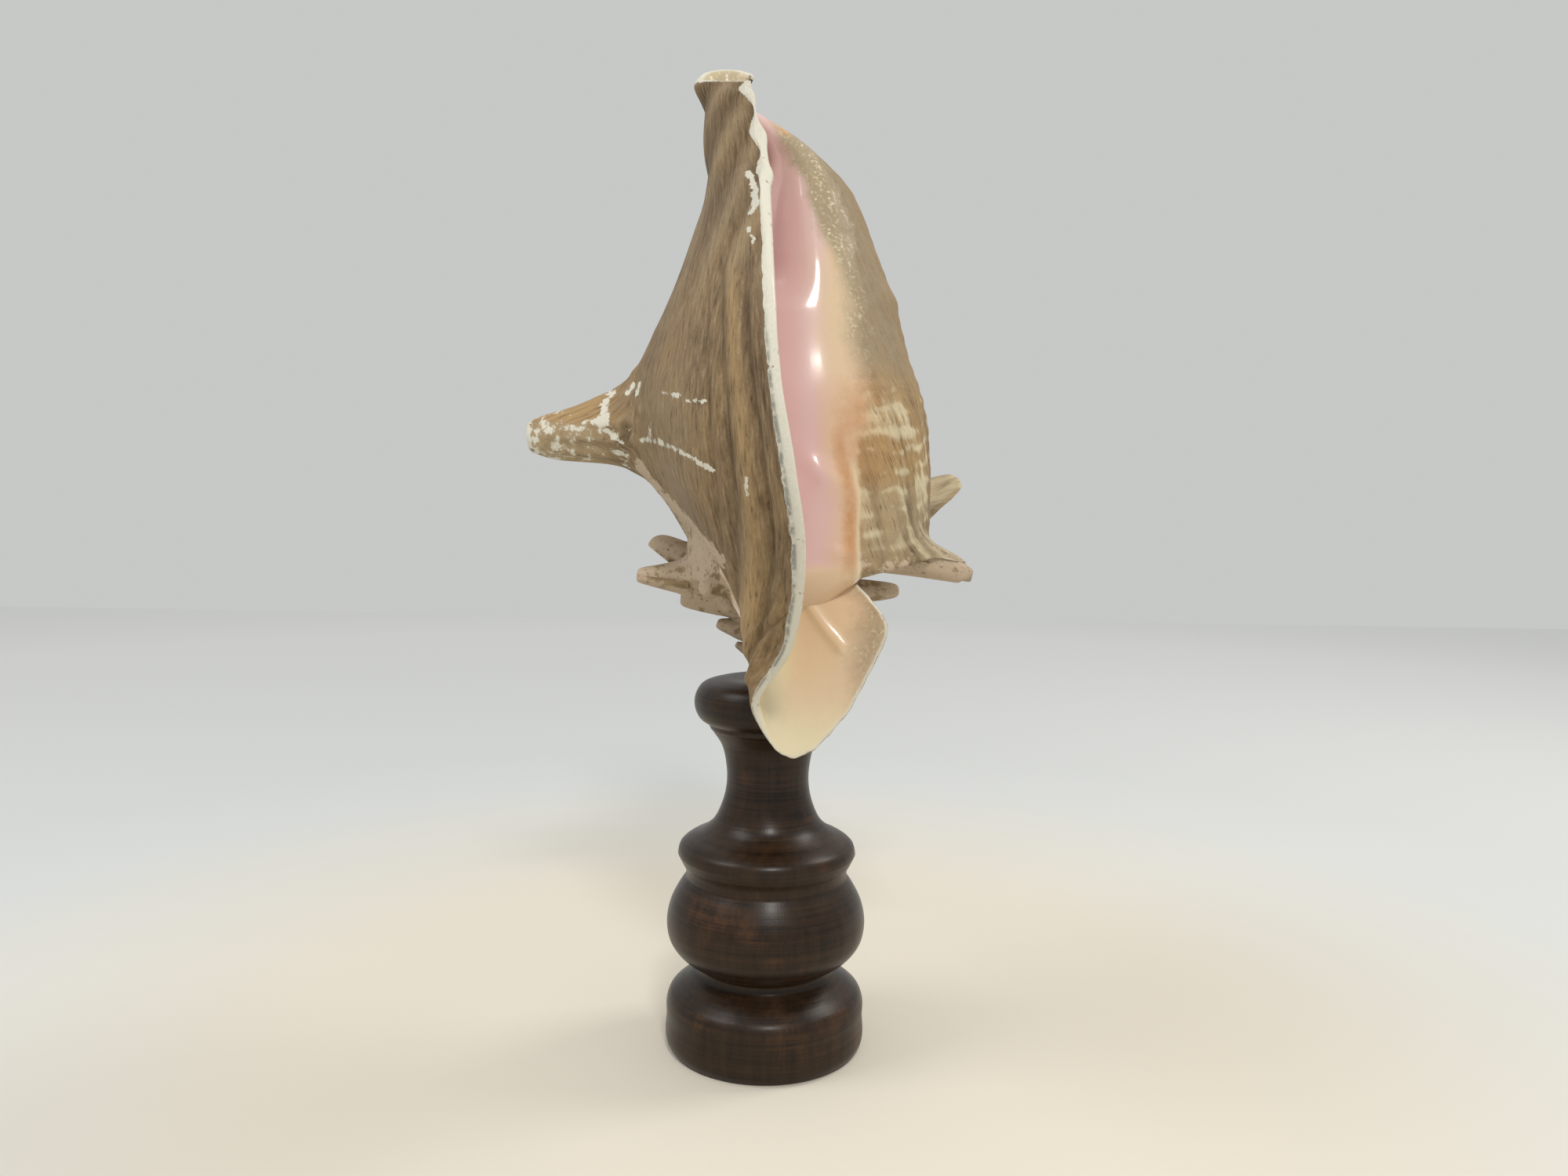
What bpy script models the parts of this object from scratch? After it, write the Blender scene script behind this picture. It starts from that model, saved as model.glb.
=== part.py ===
"""Conch shell on a turned wooden stand, in metres, +Z up.

The origin is the centre of the stand's foot. The shell stands on its spire, with its
siphonal canal at the top, its aperture towards +X and its flared lip towards -Y.
"""

import math

import bmesh
import bpy
import numpy as np

MM = 0.001
COLLECTION = "conch_shell_on_stand"

# Fineness of the faceted solids.
STAND_SEGMENTS = 28
BODY_COLUMNS = 40
BODY_ROWS = 36
LIP_COLUMNS = 18
LIP_ROWS = 32
SPINE_SIDES = 8

# Stand: (radius, height) in mm down the outer side, one run for each turned member. Runs meet in
# a crease, and each is drawn as a smooth curve through its points.
STAND_RUNS = (
    ((4.6, 133.0), (19.0, 133.6), (24.2, 131.6), (26.4, 127.6), (26.4, 123.4), (24.4, 119.6), (21.4, 117.8)),
    ((21.4, 117.8), (21.0, 116.4), (20.2, 115.4)),
    ((20.2, 115.4), (16.9, 110.5), (15.0, 103.0), (14.7, 97.0), (16.4, 88.5), (19.8, 81.8), (24.6, 78.0), (28.6, 76.0),
     (31.4, 73.6), (32.0, 70.9)),
    ((32.0, 70.9), (30.6, 68.0), (29.2, 65.2), (28.9, 62.6)),
    ((28.9, 62.6), (31.6, 58.6), (34.6, 52.6), (35.8, 45.6), (34.6, 39.4), (31.0, 34.6), (26.4, 31.4), (24.0, 30.0)),
    ((24.0, 30.0), (24.4, 27.9), (27.2, 25.6), (31.6, 22.6), (34.6, 19.8), (35.6, 17.0), (35.6, 12.0), (35.0, 1.4),
     (34.0, 0.0)),
)
STAND_RUN_STEPS = 5
SOCKET_FLOOR_RADIUS = 3.4
SOCKET_DEPTH = 3.9

# Shell keel: the shoulder line of the whorls, as (turn, radius, height) in mm. A turn is one
# whorl; 0 is the great spine on the left, and earlier whorls are negative.
KEEL = (
    (-7.0, 2.2, 131.0), (-6.0, 3.0, 133.6), (-5.0, 4.2, 137.2), (-4.0, 6.0, 142.3), (-3.0, 9.4, 150.4),
    (-2.0, 17.0, 160.6), (-1.5, 22.5, 164.4), (-1.0, 29.4, 168.0), (-0.75, 38.0, 170.0), (-0.625, 46.0, 173.0),
    (-0.5, 51.0, 180.0), (-0.375, 53.0, 193.0), (-0.25, 54.0, 204.0), (-0.125, 54.0, 212.0), (0.0, 54.0, 219.0),
    (0.2, 54.0, 228.0),
)
WHORLS = 7
SUTURE_RISE = 0.30
APEX_HEIGHT = 129.4

# Body whorl above its keel: (height, centre x, radius to the right, radius to the left) in mm.
BODY_PROFILE = (
    (349.0, -17.4, 0.6, 11.6), (342.0, -17.4, 0.6, 11.4), (333.0, -11.0, 0.6, 15.0), (328.0, -7.0, 5.0, 18.0),
    (322.0, -2.0, 9.6, 22.6), (315.0, 2.0, 14.0, 26.0), (306.0, 3.0, 22.0, 26.4), (298.0, 2.0, 27.6, 26.4),
    (286.0, 1.0, 33.4, 29.4), (275.0, 0.0, 39.0, 33.2), (262.0, 0.0, 43.4, 38.4), (248.0, 0.0, 47.4, 44.6),
    (232.0, 0.0, 53.0, 50.4), (214.0, 0.0, 55.6, 54.0), (190.0, 0.0, 56.0, 54.0), (150.0, 0.0, 56.0, 54.0),
)
BODY_TOP = 333.4
# Share of the right-hand radius round the inner wall of the aperture: (azimuth in degrees, share).
INNER_WALL = ((-225.0, 0.50), (-180.0, 0.52), (-135.0, 0.58), (-90.0, 0.70), (-45.0, 0.88), (0.0, 1.0))
# Azimuth, in degrees, where the inner wall climbs back out to meet the last half whorl.
CHAMBER_END = (121.0, 152.0)

# Spines on the keel: (azimuth in degrees, turn, length, root radius, rise of the tip) in mm. The
# root radius is the spine's radius at half its length.
SPINES = (
    (181.0, 0.06, 34.0, 9.8, -4.0), (116.0, -0.18, 27.0, 8.6, 0.0), (70.0, -0.31, 27.0, 8.4, 1.0),
    (28.0, -0.42, 29.0, 7.6, 9.0), (-13.0, -0.536, 23.5, 8.2, -8.0),
    (150.0, -1.08, 22.0, 5.6, 14.0), (184.0, -0.99, 17.6, 5.0, 1.0), (234.0, -0.85, 8.0, 5.0, -1.0),
    (8.0, -1.478, 24.0, 4.6, 1.0), (60.0, -1.333, 15.0, 5.0, 1.0), (106.0, -1.21, 15.0, 5.0, 1.0),
    (178.0, -2.0, 10.5, 3.2, 2.0), (228.0, -1.867, 5.0, 3.2, 0.0), (272.0, -1.744, 8.0, 3.6, 0.0),
    (320.0, -1.611, 12.0, 4.0, 0.0), (90.0, -2.25, 8.0, 3.0, 1.0), (182.0, -2.99, 4.8, 2.0, 0.5),
    (182.0, -3.99, 2.0, 1.2, 0.0),
)
SPINE_BLUNTNESS = 5.0

# Growth lines of the lip, from the canal down its front and round the lower lobe, as (height on
# the left outline, point on the free edge, point half way in from the edge) in mm.
LIP_STATIONS = (
    (342.0, (-9.2, -8.5, 342.0), (-18.0, -10.0, 342.0)),
    (331.0, (-8.0, -20.0, 328.0), (-18.6, -16.0, 330.0)),
    (313.0, (-3.2, -38.0, 307.0), (-18.4, -25.0, 309.0)),
    (297.0, (-2.0, -61.0, 285.0), (-18.4, -34.0, 290.0)),
    (281.0, (-0.8, -83.0, 259.0), (-23.0, -43.0, 267.0)),
    (266.0, (1.5, -94.0, 232.0), (-27.0, -49.0, 246.0)),
    (252.0, (6.0, -95.0, 206.0), (-29.6, -51.0, 226.0)),
    (240.0, (9.6, -84.0, 181.0), (-28.0, -48.0, 207.0)),
    (229.0, (6.6, -63.0, 153.0), (-21.0, -39.0, 188.0)),
    (219.0, (-4.0, -45.0, 131.0), (-10.4, -28.0, 169.0)),
    (208.0, (7.0, -41.0, 114.0), (-4.0, -26.5, 163.0)),
    (198.0, (22.0, -41.0, 124.5), (2.0, -27.0, 163.0)),
    (188.0, (34.0, -42.5, 146.0), (7.0, -28.0, 165.0)),
    (180.0, (37.5, -42.0, 158.5), (10.0, -28.0, 168.0)),
    (173.0, (28.0, -36.0, 172.0), (10.0, -27.0, 172.0)),
)
LIP_ROOT_AZIMUTH = 112.0
CANAL_ROOT_AZIMUTH = 30.0
CANAL_FOOT = 330.0
# The canal's end is cut at a slant: its far side stands higher by this share of its depth.
CANAL_SLANT = 0.45
# Shares of the way across the lip, from its root, at the left outline and half way in.
LIP_LEFT_SHARE = 0.36
LIP_HALFWAY_SHARE = 0.68
LIP_HALF_THICKNESS = 1.9
# The lip's root is sunk into the whorl by so much, which eases out quickly to the left.
ROOT_SINK = 5.0
ROOT_SINK_POWER = 8.0
EDGE_ROUNDING = 0.05


def clear_scene():
    """Remove every object, so that only the model is left."""
    for obj in list(bpy.data.objects):
        bpy.data.objects.remove(obj, do_unlink=True)


def collection_named(name):
    """Return a new collection linked to the scene."""
    collection = bpy.data.collections.new(name)
    bpy.context.scene.collection.children.link(collection)
    return collection


def principled(name, colour, roughness):
    """Return a Principled material with one colour and no metal."""
    material = bpy.data.materials.new(name)
    material.use_nodes = True
    shader = material.node_tree.nodes["Principled BSDF"]
    shader.inputs["Base Color"].default_value = (*colour, 1.0)
    shader.inputs["Roughness"].default_value = roughness
    shader.inputs["Metallic"].default_value = 0.0
    material.diffuse_color = (*colour, 1.0)
    return material


def smooth_through(places, values, at):
    """Cubic through (place, value) pairs: at each pair the slope is the mean of its two sides."""
    places = np.asarray(places, float)
    values = np.asarray(values, float)
    at = np.clip(at, places[0], places[-1])
    slopes = np.gradient(values, places, axis=0)
    index = np.clip(np.searchsorted(places, at, side="right") - 1, 0, len(places) - 2)
    width = places[index + 1] - places[index]
    share = (at - places[index]) / width
    spread = np.shape(index) + (1,) * (values.ndim - 1)
    width, share = width.reshape(spread), share.reshape(spread)
    start, end = values[index], values[index + 1]
    leave, arrive = slopes[index] * width, slopes[index + 1] * width
    return (
        start * (1 + 2 * share) * (1 - share) ** 2
        + leave * share * (1 - share) ** 2
        + end * share**2 * (3 - 2 * share)
        + arrive * share**2 * (share - 1)
    )


def ease(value):
    """Smooth step from 0 to 1."""
    value = np.clip(value, 0.0, 1.0)
    return value * value * (3 - 2 * value)


def keel_at(turn):
    """Radius and height of the shoulder keel at a turn."""
    table = np.array(KEEL)
    turns, radii, heights = table.T
    return smooth_through(turns, radii, turn), smooth_through(turns, heights, turn)


def body_profile_at(height):
    """Centre x, right radius and left radius of the body whorl at a height."""
    table = np.array(BODY_PROFILE)[::-1]
    return (smooth_through(table[:, 0], table[:, column], height) for column in (1, 2, 3))


def whorl_radius(azimuth, height):
    """Radius of the whorls about the axis at an azimuth in degrees from -180 to 180.

    Above its keel the last whorl follows the body profile. Below, each whorl is a ramp from its
    keel down to the suture, and a short wall from the suture down to the keel of the whorl before.
    """
    centre, right, left = body_profile_at(height)
    grown = 0.5 - 0.5 * np.cos(np.radians(np.clip(azimuth, 0.0, 180.0)))
    share = smooth_through(*np.array(INNER_WALL).T, np.minimum(azimuth, 0.0))
    radius = np.where(azimuth > 0, right + (left - right) * grown, right * share)
    first_turn = azimuth / 360 - 0.5
    keel_radius, keel_height = keel_at(first_turn)
    keel_radius = np.where(azimuth < 0, keel_radius * (0.55 + 0.45 * share), keel_radius)
    for whorl in range(WHORLS):
        below_radius, below_height = keel_at(first_turn - whorl - 1)
        suture_height = below_height + SUTURE_RISE * (keel_height - below_height)
        ramp_height = np.maximum(keel_height - suture_height, 0.01)
        ramp = np.clip((height - suture_height) / ramp_height, 0.0, 1.0)
        stepped = below_radius + (np.minimum(keel_radius, radius) - below_radius) * ramp**1.15
        radius = np.where(height < keel_height, np.minimum(radius, stepped), radius)
        keel_radius, keel_height = below_radius, below_height
    tip = np.sqrt(np.clip((height - APEX_HEIGHT) / 4.0, 0.0, 1.0))
    return radius * tip, centre


def rounded_whorl_radius(azimuth, height):
    """Whorl radius averaged over a short height, which rounds the keels and sutures."""
    reach = np.clip((height - APEX_HEIGHT) * 0.03, 0.2, 1.6)
    total = 0.0
    for step in (-1.0, -0.33, 0.33, 1.0):
        radius, centre = whorl_radius(azimuth, height + step * reach)
        total = total + radius
    return total / 4, centre


def outward(azimuth, rise=0.0, length=1.0):
    """Vector of a spine at an azimuth in degrees whose tip rises by so much over its length."""
    angle = math.radians(azimuth)
    return np.array([length * math.cos(angle), length * math.sin(angle), rise])


def body_points():
    """Grid of the spire, body whorl and inner wall: rows from the apex up, columns round."""
    share = np.linspace(0.0, 1.0, BODY_ROWS)
    low, high = APEX_HEIGHT + 0.3, BODY_TOP - 0.2
    heights = low + (high - low) * (0.55 * share + 0.45 * share**2.2)
    azimuths = np.linspace(-180.0, 180.0, BODY_COLUMNS, endpoint=False)
    height, azimuth = np.meshgrid(heights, azimuths, indexing="ij")
    radius, centre = rounded_whorl_radius(azimuth, height)
    # Behind the last half whorl the chamber's inner wall carries on, and then climbs out to it.
    _, right, _ = body_profile_at(height)
    inner = right * smooth_through(*np.array(INNER_WALL).T, azimuth - 360.0)
    climb = ease((CHAMBER_END[1] - azimuth) / (CHAMBER_END[1] - CHAMBER_END[0]))
    _, keel_height = keel_at(azimuth / 360 - 0.5)
    in_body = ease((height - keel_height + 14.0) / 16.0) * (azimuth > CHAMBER_END[0])
    dug = inner + (radius - inner) * climb
    radius = radius + (np.minimum(radius, dug) - radius) * in_body
    angle = np.radians(azimuth)
    return np.stack([centre + radius * np.cos(angle), radius * np.sin(angle), height], axis=-1)


def lip_points():
    """Middle surface of the last half whorl and its flared lip: rows from canal to suture, columns
    from the root at the back, round the left side, out to the free edge."""
    stations = np.linspace(0.0, 1.0, len(LIP_STATIONS))
    rows = np.linspace(0.0, 1.0, LIP_ROWS)
    height = smooth_through(stations, [station[0] for station in LIP_STATIONS], rows)
    edge = smooth_through(stations, np.array([station[1] for station in LIP_STATIONS]), rows)
    half = smooth_through(stations, np.array([station[2] for station in LIP_STATIONS]), rows)
    in_canal = ease((height - CANAL_FOOT) / (LIP_STATIONS[0][0] - CANAL_FOOT))
    root = LIP_ROOT_AZIMUTH + (CANAL_ROOT_AZIMUTH - LIP_ROOT_AZIMUTH) * in_canal
    _, rest_keel = keel_at(np.zeros(1))
    guides = []
    left_shares = np.array([0.0, 0.25, 0.5, 0.75, 1.0])
    for share in left_shares:
        azimuth = root + (180.0 - root) * share
        _, own_keel = keel_at(azimuth / 360 - 0.5)
        # The keel climbs towards the lip, so earlier sections sit lower by the same amount.
        own_height = height - (rest_keel - own_keel) * ease((300.0 - height) / 80.0)
        radius, centre = rounded_whorl_radius(azimuth, own_height)
        _, _, left = body_profile_at(own_height)
        radius = radius + (left - radius) * in_canal - LIP_HALF_THICKNESS
        radius = radius - ROOT_SINK * (1.0 - share) ** ROOT_SINK_POWER * (1.0 - in_canal)
        angle = np.radians(azimuth)
        guides.append(np.stack([centre + radius * np.cos(angle), radius * np.sin(angle), own_height], axis=-1))
    guides += [half, edge]
    places = np.array([*(left_shares * LIP_LEFT_SHARE), LIP_HALFWAY_SHARE, 1.0])
    across = np.linspace(0.0, 1.0, LIP_COLUMNS)
    points = np.swapaxes(smooth_through(places, np.array(guides), across), 0, 1)
    slant = CANAL_SLANT * ease((height - CANAL_FOOT) / 26.0)
    points[..., 2] += slant[:, None] * points[..., 1]
    return points


def closed_grid(name, points, material):
    """Mesh object of a grid whose columns close in a ring and whose end rows close in a point."""
    rows, columns, _ = points.shape
    low, high = points[0].mean(axis=0), points[-1].mean(axis=0)
    vertices = np.concatenate([points.reshape(-1, 3), [low, high]]) * MM
    index = np.arange(rows * columns).reshape(rows, columns)
    after = np.roll(index, -1, axis=1)
    faces = np.stack([index[:-1], after[:-1], after[1:], index[1:]], axis=-1).reshape(-1, 4).tolist()
    apex, top = rows * columns, rows * columns + 1
    faces += [(int(b), int(a), apex) for a, b in zip(index[0], after[0])]
    faces += [(int(a), int(b), top) for a, b in zip(index[-1], after[-1])]
    return mesh_object(name, vertices, faces, material)


def thick_sheet(name, middle, half_thickness, material):
    """Closed mesh object on both sides of a middle surface, which thins to nothing at its edges."""
    rows, columns, _ = middle.shape
    along = np.gradient(middle, axis=0)
    across = np.gradient(middle, axis=1)
    normal = np.cross(along, across)
    normal /= np.linalg.norm(normal, axis=-1, keepdims=True)
    row = np.linspace(0.0, 1.0, rows)[:, None]
    column = np.linspace(0.0, 1.0, columns)[None, :]
    inset = np.minimum(np.minimum(row, 1 - row), np.minimum(column, 1 - column))
    share = np.clip(inset / EDGE_ROUNDING, 0.0, 1.0)
    half = (half_thickness * np.sqrt(share * (2 - share)))[..., None]
    outer, inner = middle + half * normal, middle - half * normal
    inside = (slice(1, -1), slice(1, -1))
    index = np.arange(rows * columns).reshape(rows, columns)
    back = index.copy()
    back[inside] = rows * columns + np.arange((rows - 2) * (columns - 2)).reshape(rows - 2, columns - 2)
    vertices = np.concatenate([outer.reshape(-1, 3), inner[inside].reshape(-1, 3)]) * MM
    front = np.stack([index[:-1, :-1], index[1:, :-1], index[1:, 1:], index[:-1, 1:]], axis=-1)
    reverse = np.stack([back[:-1, :-1], back[:-1, 1:], back[1:, 1:], back[1:, :-1]], axis=-1)
    faces = np.concatenate([front.reshape(-1, 4), reverse.reshape(-1, 4)]).tolist()
    return mesh_object(name, vertices, faces, material)


def mesh_object(name, vertices, faces, material):
    """Smooth-shaded object with outward faces."""
    mesh = bpy.data.meshes.new(name)
    mesh.from_pydata(vertices.tolist(), [], faces)
    edit = bmesh.new()
    edit.from_mesh(mesh)
    bmesh.ops.remove_doubles(edit, verts=edit.verts, dist=0.02 * MM)
    bmesh.ops.recalc_face_normals(edit, faces=edit.faces)
    bmesh.ops.triangulate(edit, faces=edit.faces)
    edit.to_mesh(mesh)
    edit.free()
    mesh.materials.append(material)
    mesh.shade_smooth()
    return bpy.data.objects.new(name, mesh)


def spine_points(azimuth, turn, length, root, rise):
    """Rings of a blunt cone on the keel, rows from inside the whorl out to the tip."""
    keel_radius, keel_height = keel_at(np.array(turn))
    foot = keel_radius * outward(azimuth) + np.array([0.0, 0.0, float(keel_height)])
    axis = outward(azimuth, rise, length)
    side = np.cross(axis, (0.0, 0.0, 1.0))
    side /= np.linalg.norm(side)
    upward = np.cross(side, axis) / np.linalg.norm(axis)
    reach = np.array([-0.35, 0.06, 0.16, 0.36, 0.6, 0.84, 0.96])
    lift = np.clip(reach, 0.08, None)
    radius = root * (1.0 / lift - 1.0) ** (1.0 / SPINE_BLUNTNESS)
    angle = np.linspace(0.0, 2 * math.pi, SPINE_SIDES, endpoint=False)
    ring = np.cos(angle)[:, None] * side + np.sin(angle)[:, None] * upward
    # Each ring bends back with the whorl's curve at its sides.
    bend = (radius[:, None] * np.cos(angle)) ** 2 * (1.0 - lift[:, None]) / (2.0 * keel_radius)
    rings = foot + reach[:, None, None] * axis + radius[:, None, None] * ring
    return rings - bend[..., None] * outward(azimuth)


def make_shell(parts, helpers):
    """Spire and body whorl, joined with the last half whorl, its flared lip and the spines."""
    material = principled("shell", (0.45, 0.30, 0.19), 0.45)
    shell = closed_grid("shell", body_points(), material)
    parts.objects.link(shell)
    helpers.objects.link(thick_sheet("lip_helper", lip_points(), LIP_HALF_THICKNESS, material))
    for number, spine in enumerate(SPINES):
        helpers.objects.link(closed_grid(f"spine_helper_{number}", spine_points(*spine), material))
    for helper in helpers.objects:
        helper.hide_render = True
        helper.display_type = "WIRE"
    joined = shell.modifiers.new("lip and spines", "BOOLEAN")
    joined.operation = "UNION"
    joined.operand_type = "COLLECTION"
    joined.collection = helpers
    return shell


def make_stand(parts):
    """Turned wooden stand: one profile carried round the axis."""
    outline = [(0.0, STAND_RUNS[0][0][1] - SOCKET_DEPTH)]
    outline.append((SOCKET_FLOOR_RADIUS, STAND_RUNS[0][0][1] - SOCKET_DEPTH))
    for run in STAND_RUNS:
        curve = np.array(run)
        places = np.concatenate([[0.0], np.cumsum(np.linalg.norm(np.diff(curve, axis=0), axis=1))])
        steps = np.linspace(0.0, places[-1], STAND_RUN_STEPS + 1)
        outline += [tuple(point) for point in smooth_through(places, curve, steps)]
    outline.append((0.0, 0.0))
    kept = [outline[0]]
    kept += [now for before, now in zip(outline, outline[1:]) if math.dist(before, now) > 0.05]
    mesh = bpy.data.meshes.new("stand")
    edges = [(index, index + 1) for index in range(len(kept) - 1)]
    mesh.from_pydata([(radius * MM, 0.0, height * MM) for radius, height in kept], edges, [])
    mesh.materials.append(principled("stand", (0.05, 0.02, 0.012), 0.35))
    stand = bpy.data.objects.new("stand", mesh)
    parts.objects.link(stand)
    screw = stand.modifiers.new("turned", "SCREW")
    screw.steps = STAND_SEGMENTS
    screw.render_steps = STAND_SEGMENTS
    screw.use_merge_vertices = True
    screw.merge_threshold = 0.00005
    screw.use_smooth_shade = True
    return stand


def main():
    """Build the shell and the stand in one collection."""
    clear_scene()
    parts = collection_named(COLLECTION)
    helpers = collection_named("helpers")
    make_shell(parts, helpers)
    make_stand(parts)
    helpers.hide_render = True


main()
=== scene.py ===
"""Looks of the conch shell on its turned stand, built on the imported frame."""

from __future__ import annotations

import itertools
import logging
import math
from abc import ABC, abstractmethod
from dataclasses import dataclass
from enum import Enum
from typing import ClassVar

import bpy
import numpy as np
from mathutils import Matrix
from numpy.typing import NDArray


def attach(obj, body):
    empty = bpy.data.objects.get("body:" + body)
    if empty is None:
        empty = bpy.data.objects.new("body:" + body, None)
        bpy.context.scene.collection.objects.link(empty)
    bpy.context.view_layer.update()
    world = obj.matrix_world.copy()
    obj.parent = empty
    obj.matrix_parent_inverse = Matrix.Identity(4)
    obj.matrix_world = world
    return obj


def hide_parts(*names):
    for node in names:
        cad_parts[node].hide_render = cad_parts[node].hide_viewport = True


Array = NDArray[np.float64]
Masks = dict[str, Array]
Pair = tuple[float, float]
Path = tuple[Pair, ...]
Point = tuple[float, float, float]
Colour = tuple[float, float, float]
Stroke = tuple[float, float, Path]
Socket = bpy.types.NodeSocket

MM = 0.001
HASH_WEIGHTS = np.array([127.1, 311.7, 74.7])
HASH_SCALE = 43758.5453
SEED_STEP = 17.3

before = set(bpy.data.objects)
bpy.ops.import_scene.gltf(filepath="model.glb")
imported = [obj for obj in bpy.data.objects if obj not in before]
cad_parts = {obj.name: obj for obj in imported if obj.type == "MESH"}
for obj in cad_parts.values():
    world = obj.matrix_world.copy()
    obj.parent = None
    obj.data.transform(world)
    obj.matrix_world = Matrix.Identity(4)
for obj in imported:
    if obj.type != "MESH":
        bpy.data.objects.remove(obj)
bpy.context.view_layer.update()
log = logging.getLogger("conch")


def ease(value: Array) -> Array:
    """Smooth step: 3v^2 - 2v^3 for v held between 0 and 1."""
    value = np.clip(value, 0.0, 1.0)
    return value * value * (3 - 2 * value)


def rise(value: Array, start: float | Array, width: float | Array) -> Array:
    """Ease from 0 at start up to 1 at start + width."""
    return ease((value - start) / width)


def fall(value: Array, end: float | Array, width: float | Array) -> Array:
    """Ease from 1 at end - width down to 0 at end."""
    return ease((end - value) / width)


def window(value: Array, low: float, high: float, soft: float) -> Array:
    """1 between low and high, easing to 0 over soft on each side."""
    return ease((value - low) / soft + 0.5) * ease((high - value) / soft + 0.5)


def bell(value: Array, centre: float | Array, width: float | Array) -> Array:
    """Gaussian of height 1: exp(-((v - centre) / width)^2)."""
    return np.exp(-(((value - centre) / width) ** 2))


def stacked(*parts: Array) -> Array:
    """Arrays of one shape as the last axis of one array."""
    return np.stack(parts, axis=-1)


def smooth_through(places: Array, values: Array, at: Array) -> Array:
    """Cubic Hermite curve through pairs of place and value.

    Each stretch is start * h00 + slope * h10 + end * h01 + slope * h11, and the slope at a pair is
    the mean of those of its two sides.

    Args:
        places: increasing places, one for each value.
        values: numbers or arrays, one for each place.
        at: places to read the curve at, held within the ends.

    Returns:
        The values at those places.
    """
    places = np.asarray(places, float)
    values = np.asarray(values, float)
    at = np.clip(at, places[0], places[-1])
    slopes = np.gradient(values, places, axis=0)
    index = np.clip(np.searchsorted(places, at, side="right") - 1, 0, len(places) - 2)
    spread = np.shape(index) + (1,) * (values.ndim - 1)
    width = (places[index + 1] - places[index]).reshape(spread)
    share = (at - places[index]).reshape(spread) / width
    return (
        values[index] * (1 + 2 * share) * (1 - share) ** 2
        + slopes[index] * width * share * (1 - share) ** 2
        + values[index + 1] * share**2 * (3 - 2 * share)
        + slopes[index + 1] * width * share**2 * (share - 1)
    )


def read_table(table: Path, at: Array) -> Array:
    """The cubic curve through a table's pairs of place and value, read at some places."""
    return smooth_through(*np.array(table, float).T, at)


def lattice_noise(points: Array, cell: float | Array, seed: int) -> Array:
    """Smooth noise from -1 to 1: hashed values at the corners of a lattice, eased between them.

    Args:
        points: array whose last axis is a place in up to three dimensions.
        cell: size of a lattice cell, one number or one for each dimension.
        seed: picks one pattern.

    Returns:
        One number for each place.
    """
    scaled = points / cell
    base = np.floor(scaled)
    share = ease(scaled - base)
    weights = HASH_WEIGHTS[: points.shape[-1]]
    total = np.zeros(points.shape[:-1])
    for corner in itertools.product((0, 1), repeat=points.shape[-1]):
        raw = np.sin((base + corner) @ weights + seed * SEED_STEP) * HASH_SCALE
        near = np.prod(np.where(np.array(corner) == 1, share, 1 - share), axis=-1)
        total += (raw - np.floor(raw)) * near
    return 2 * total - 1


def layered_noise(points: Array, cell: float | Point, seed: int, layers: int = 3) -> Array:
    """Sum of lattice noise at halving cells and halving heights.

    Args:
        points: array whose last axis is a place in up to three dimensions.
        cell: size of the largest cells, one number or one for each dimension.
        seed: picks one pattern.
        layers: number of sizes.

    Returns:
        A number from about -1 to 1 for each place.
    """
    cells = np.asarray(cell, float)
    total = np.zeros(points.shape[:-1])
    for layer in range(layers):
        total += lattice_noise(points, cells / 2**layer, seed + layer) / 2**layer
    return total / (2 - 0.5 ** (layers - 1))


def placed(name: str, data: bpy.types.ID) -> bpy.types.Object:
    """A new object that holds the data, linked to the scene."""
    new = bpy.data.objects.new(name, data)
    bpy.context.scene.collection.objects.link(new)
    return new


class Piece(ABC):
    """A piece of the model that stands for one node of the frame."""

    node: ClassVar[str] = "shell"

    @abstractmethod
    def build(self) -> bpy.types.Object:
        """Make the mesh of the piece."""

    def dress(self, material: bpy.types.Material) -> None:
        """Build the piece, give it its material, and let it stand for its node.

        Args:
            material: the finish of the whole piece.
        """
        piece = self.build()
        piece.data.materials.append(material)
        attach(piece, "root")
        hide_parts(self.node)
        log.info("%s: %d faces, for %s", piece.name, len(piece.data.polygons), self.node)


@dataclass
class Surface:
    """A mesh in the making: points in mm, faces, and numbers carried by each point.

    Attributes:
        points: one row for each vertex.
        faces: vertex numbers of each face.
        masks: named numbers, one for each vertex.
        uv: distance in mm across and along the growth lines, one pair for each vertex.
    """

    points: Array
    faces: list[list[int]]
    masks: Masks
    uv: Array

    def to_object(self, name: str) -> bpy.types.Object:
        """Put the surface into a smooth-shaded object at the origin.

        Args:
            name: name of the object and its mesh.

        Returns:
            The object, linked to the scene.
        """
        mesh = bpy.data.meshes.new(name)
        mesh.from_pydata((self.points * MM).tolist(), [], self.faces)
        mesh.shade_smooth()
        for key, values in self.masks.items():
            carried = mesh.attributes.new(key, "FLOAT", "POINT")
            carried.data.foreach_set("value", values.astype(np.float32))
        corners = np.empty(len(mesh.loops), np.int32)
        mesh.loops.foreach_get("vertex_index", corners)
        layer = mesh.uv_layers.new(name="growth")
        layer.data.foreach_set("uv", (self.uv[corners] * MM).astype(np.float32).ravel())
        mesh.validate()
        return placed(name, mesh)


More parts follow.
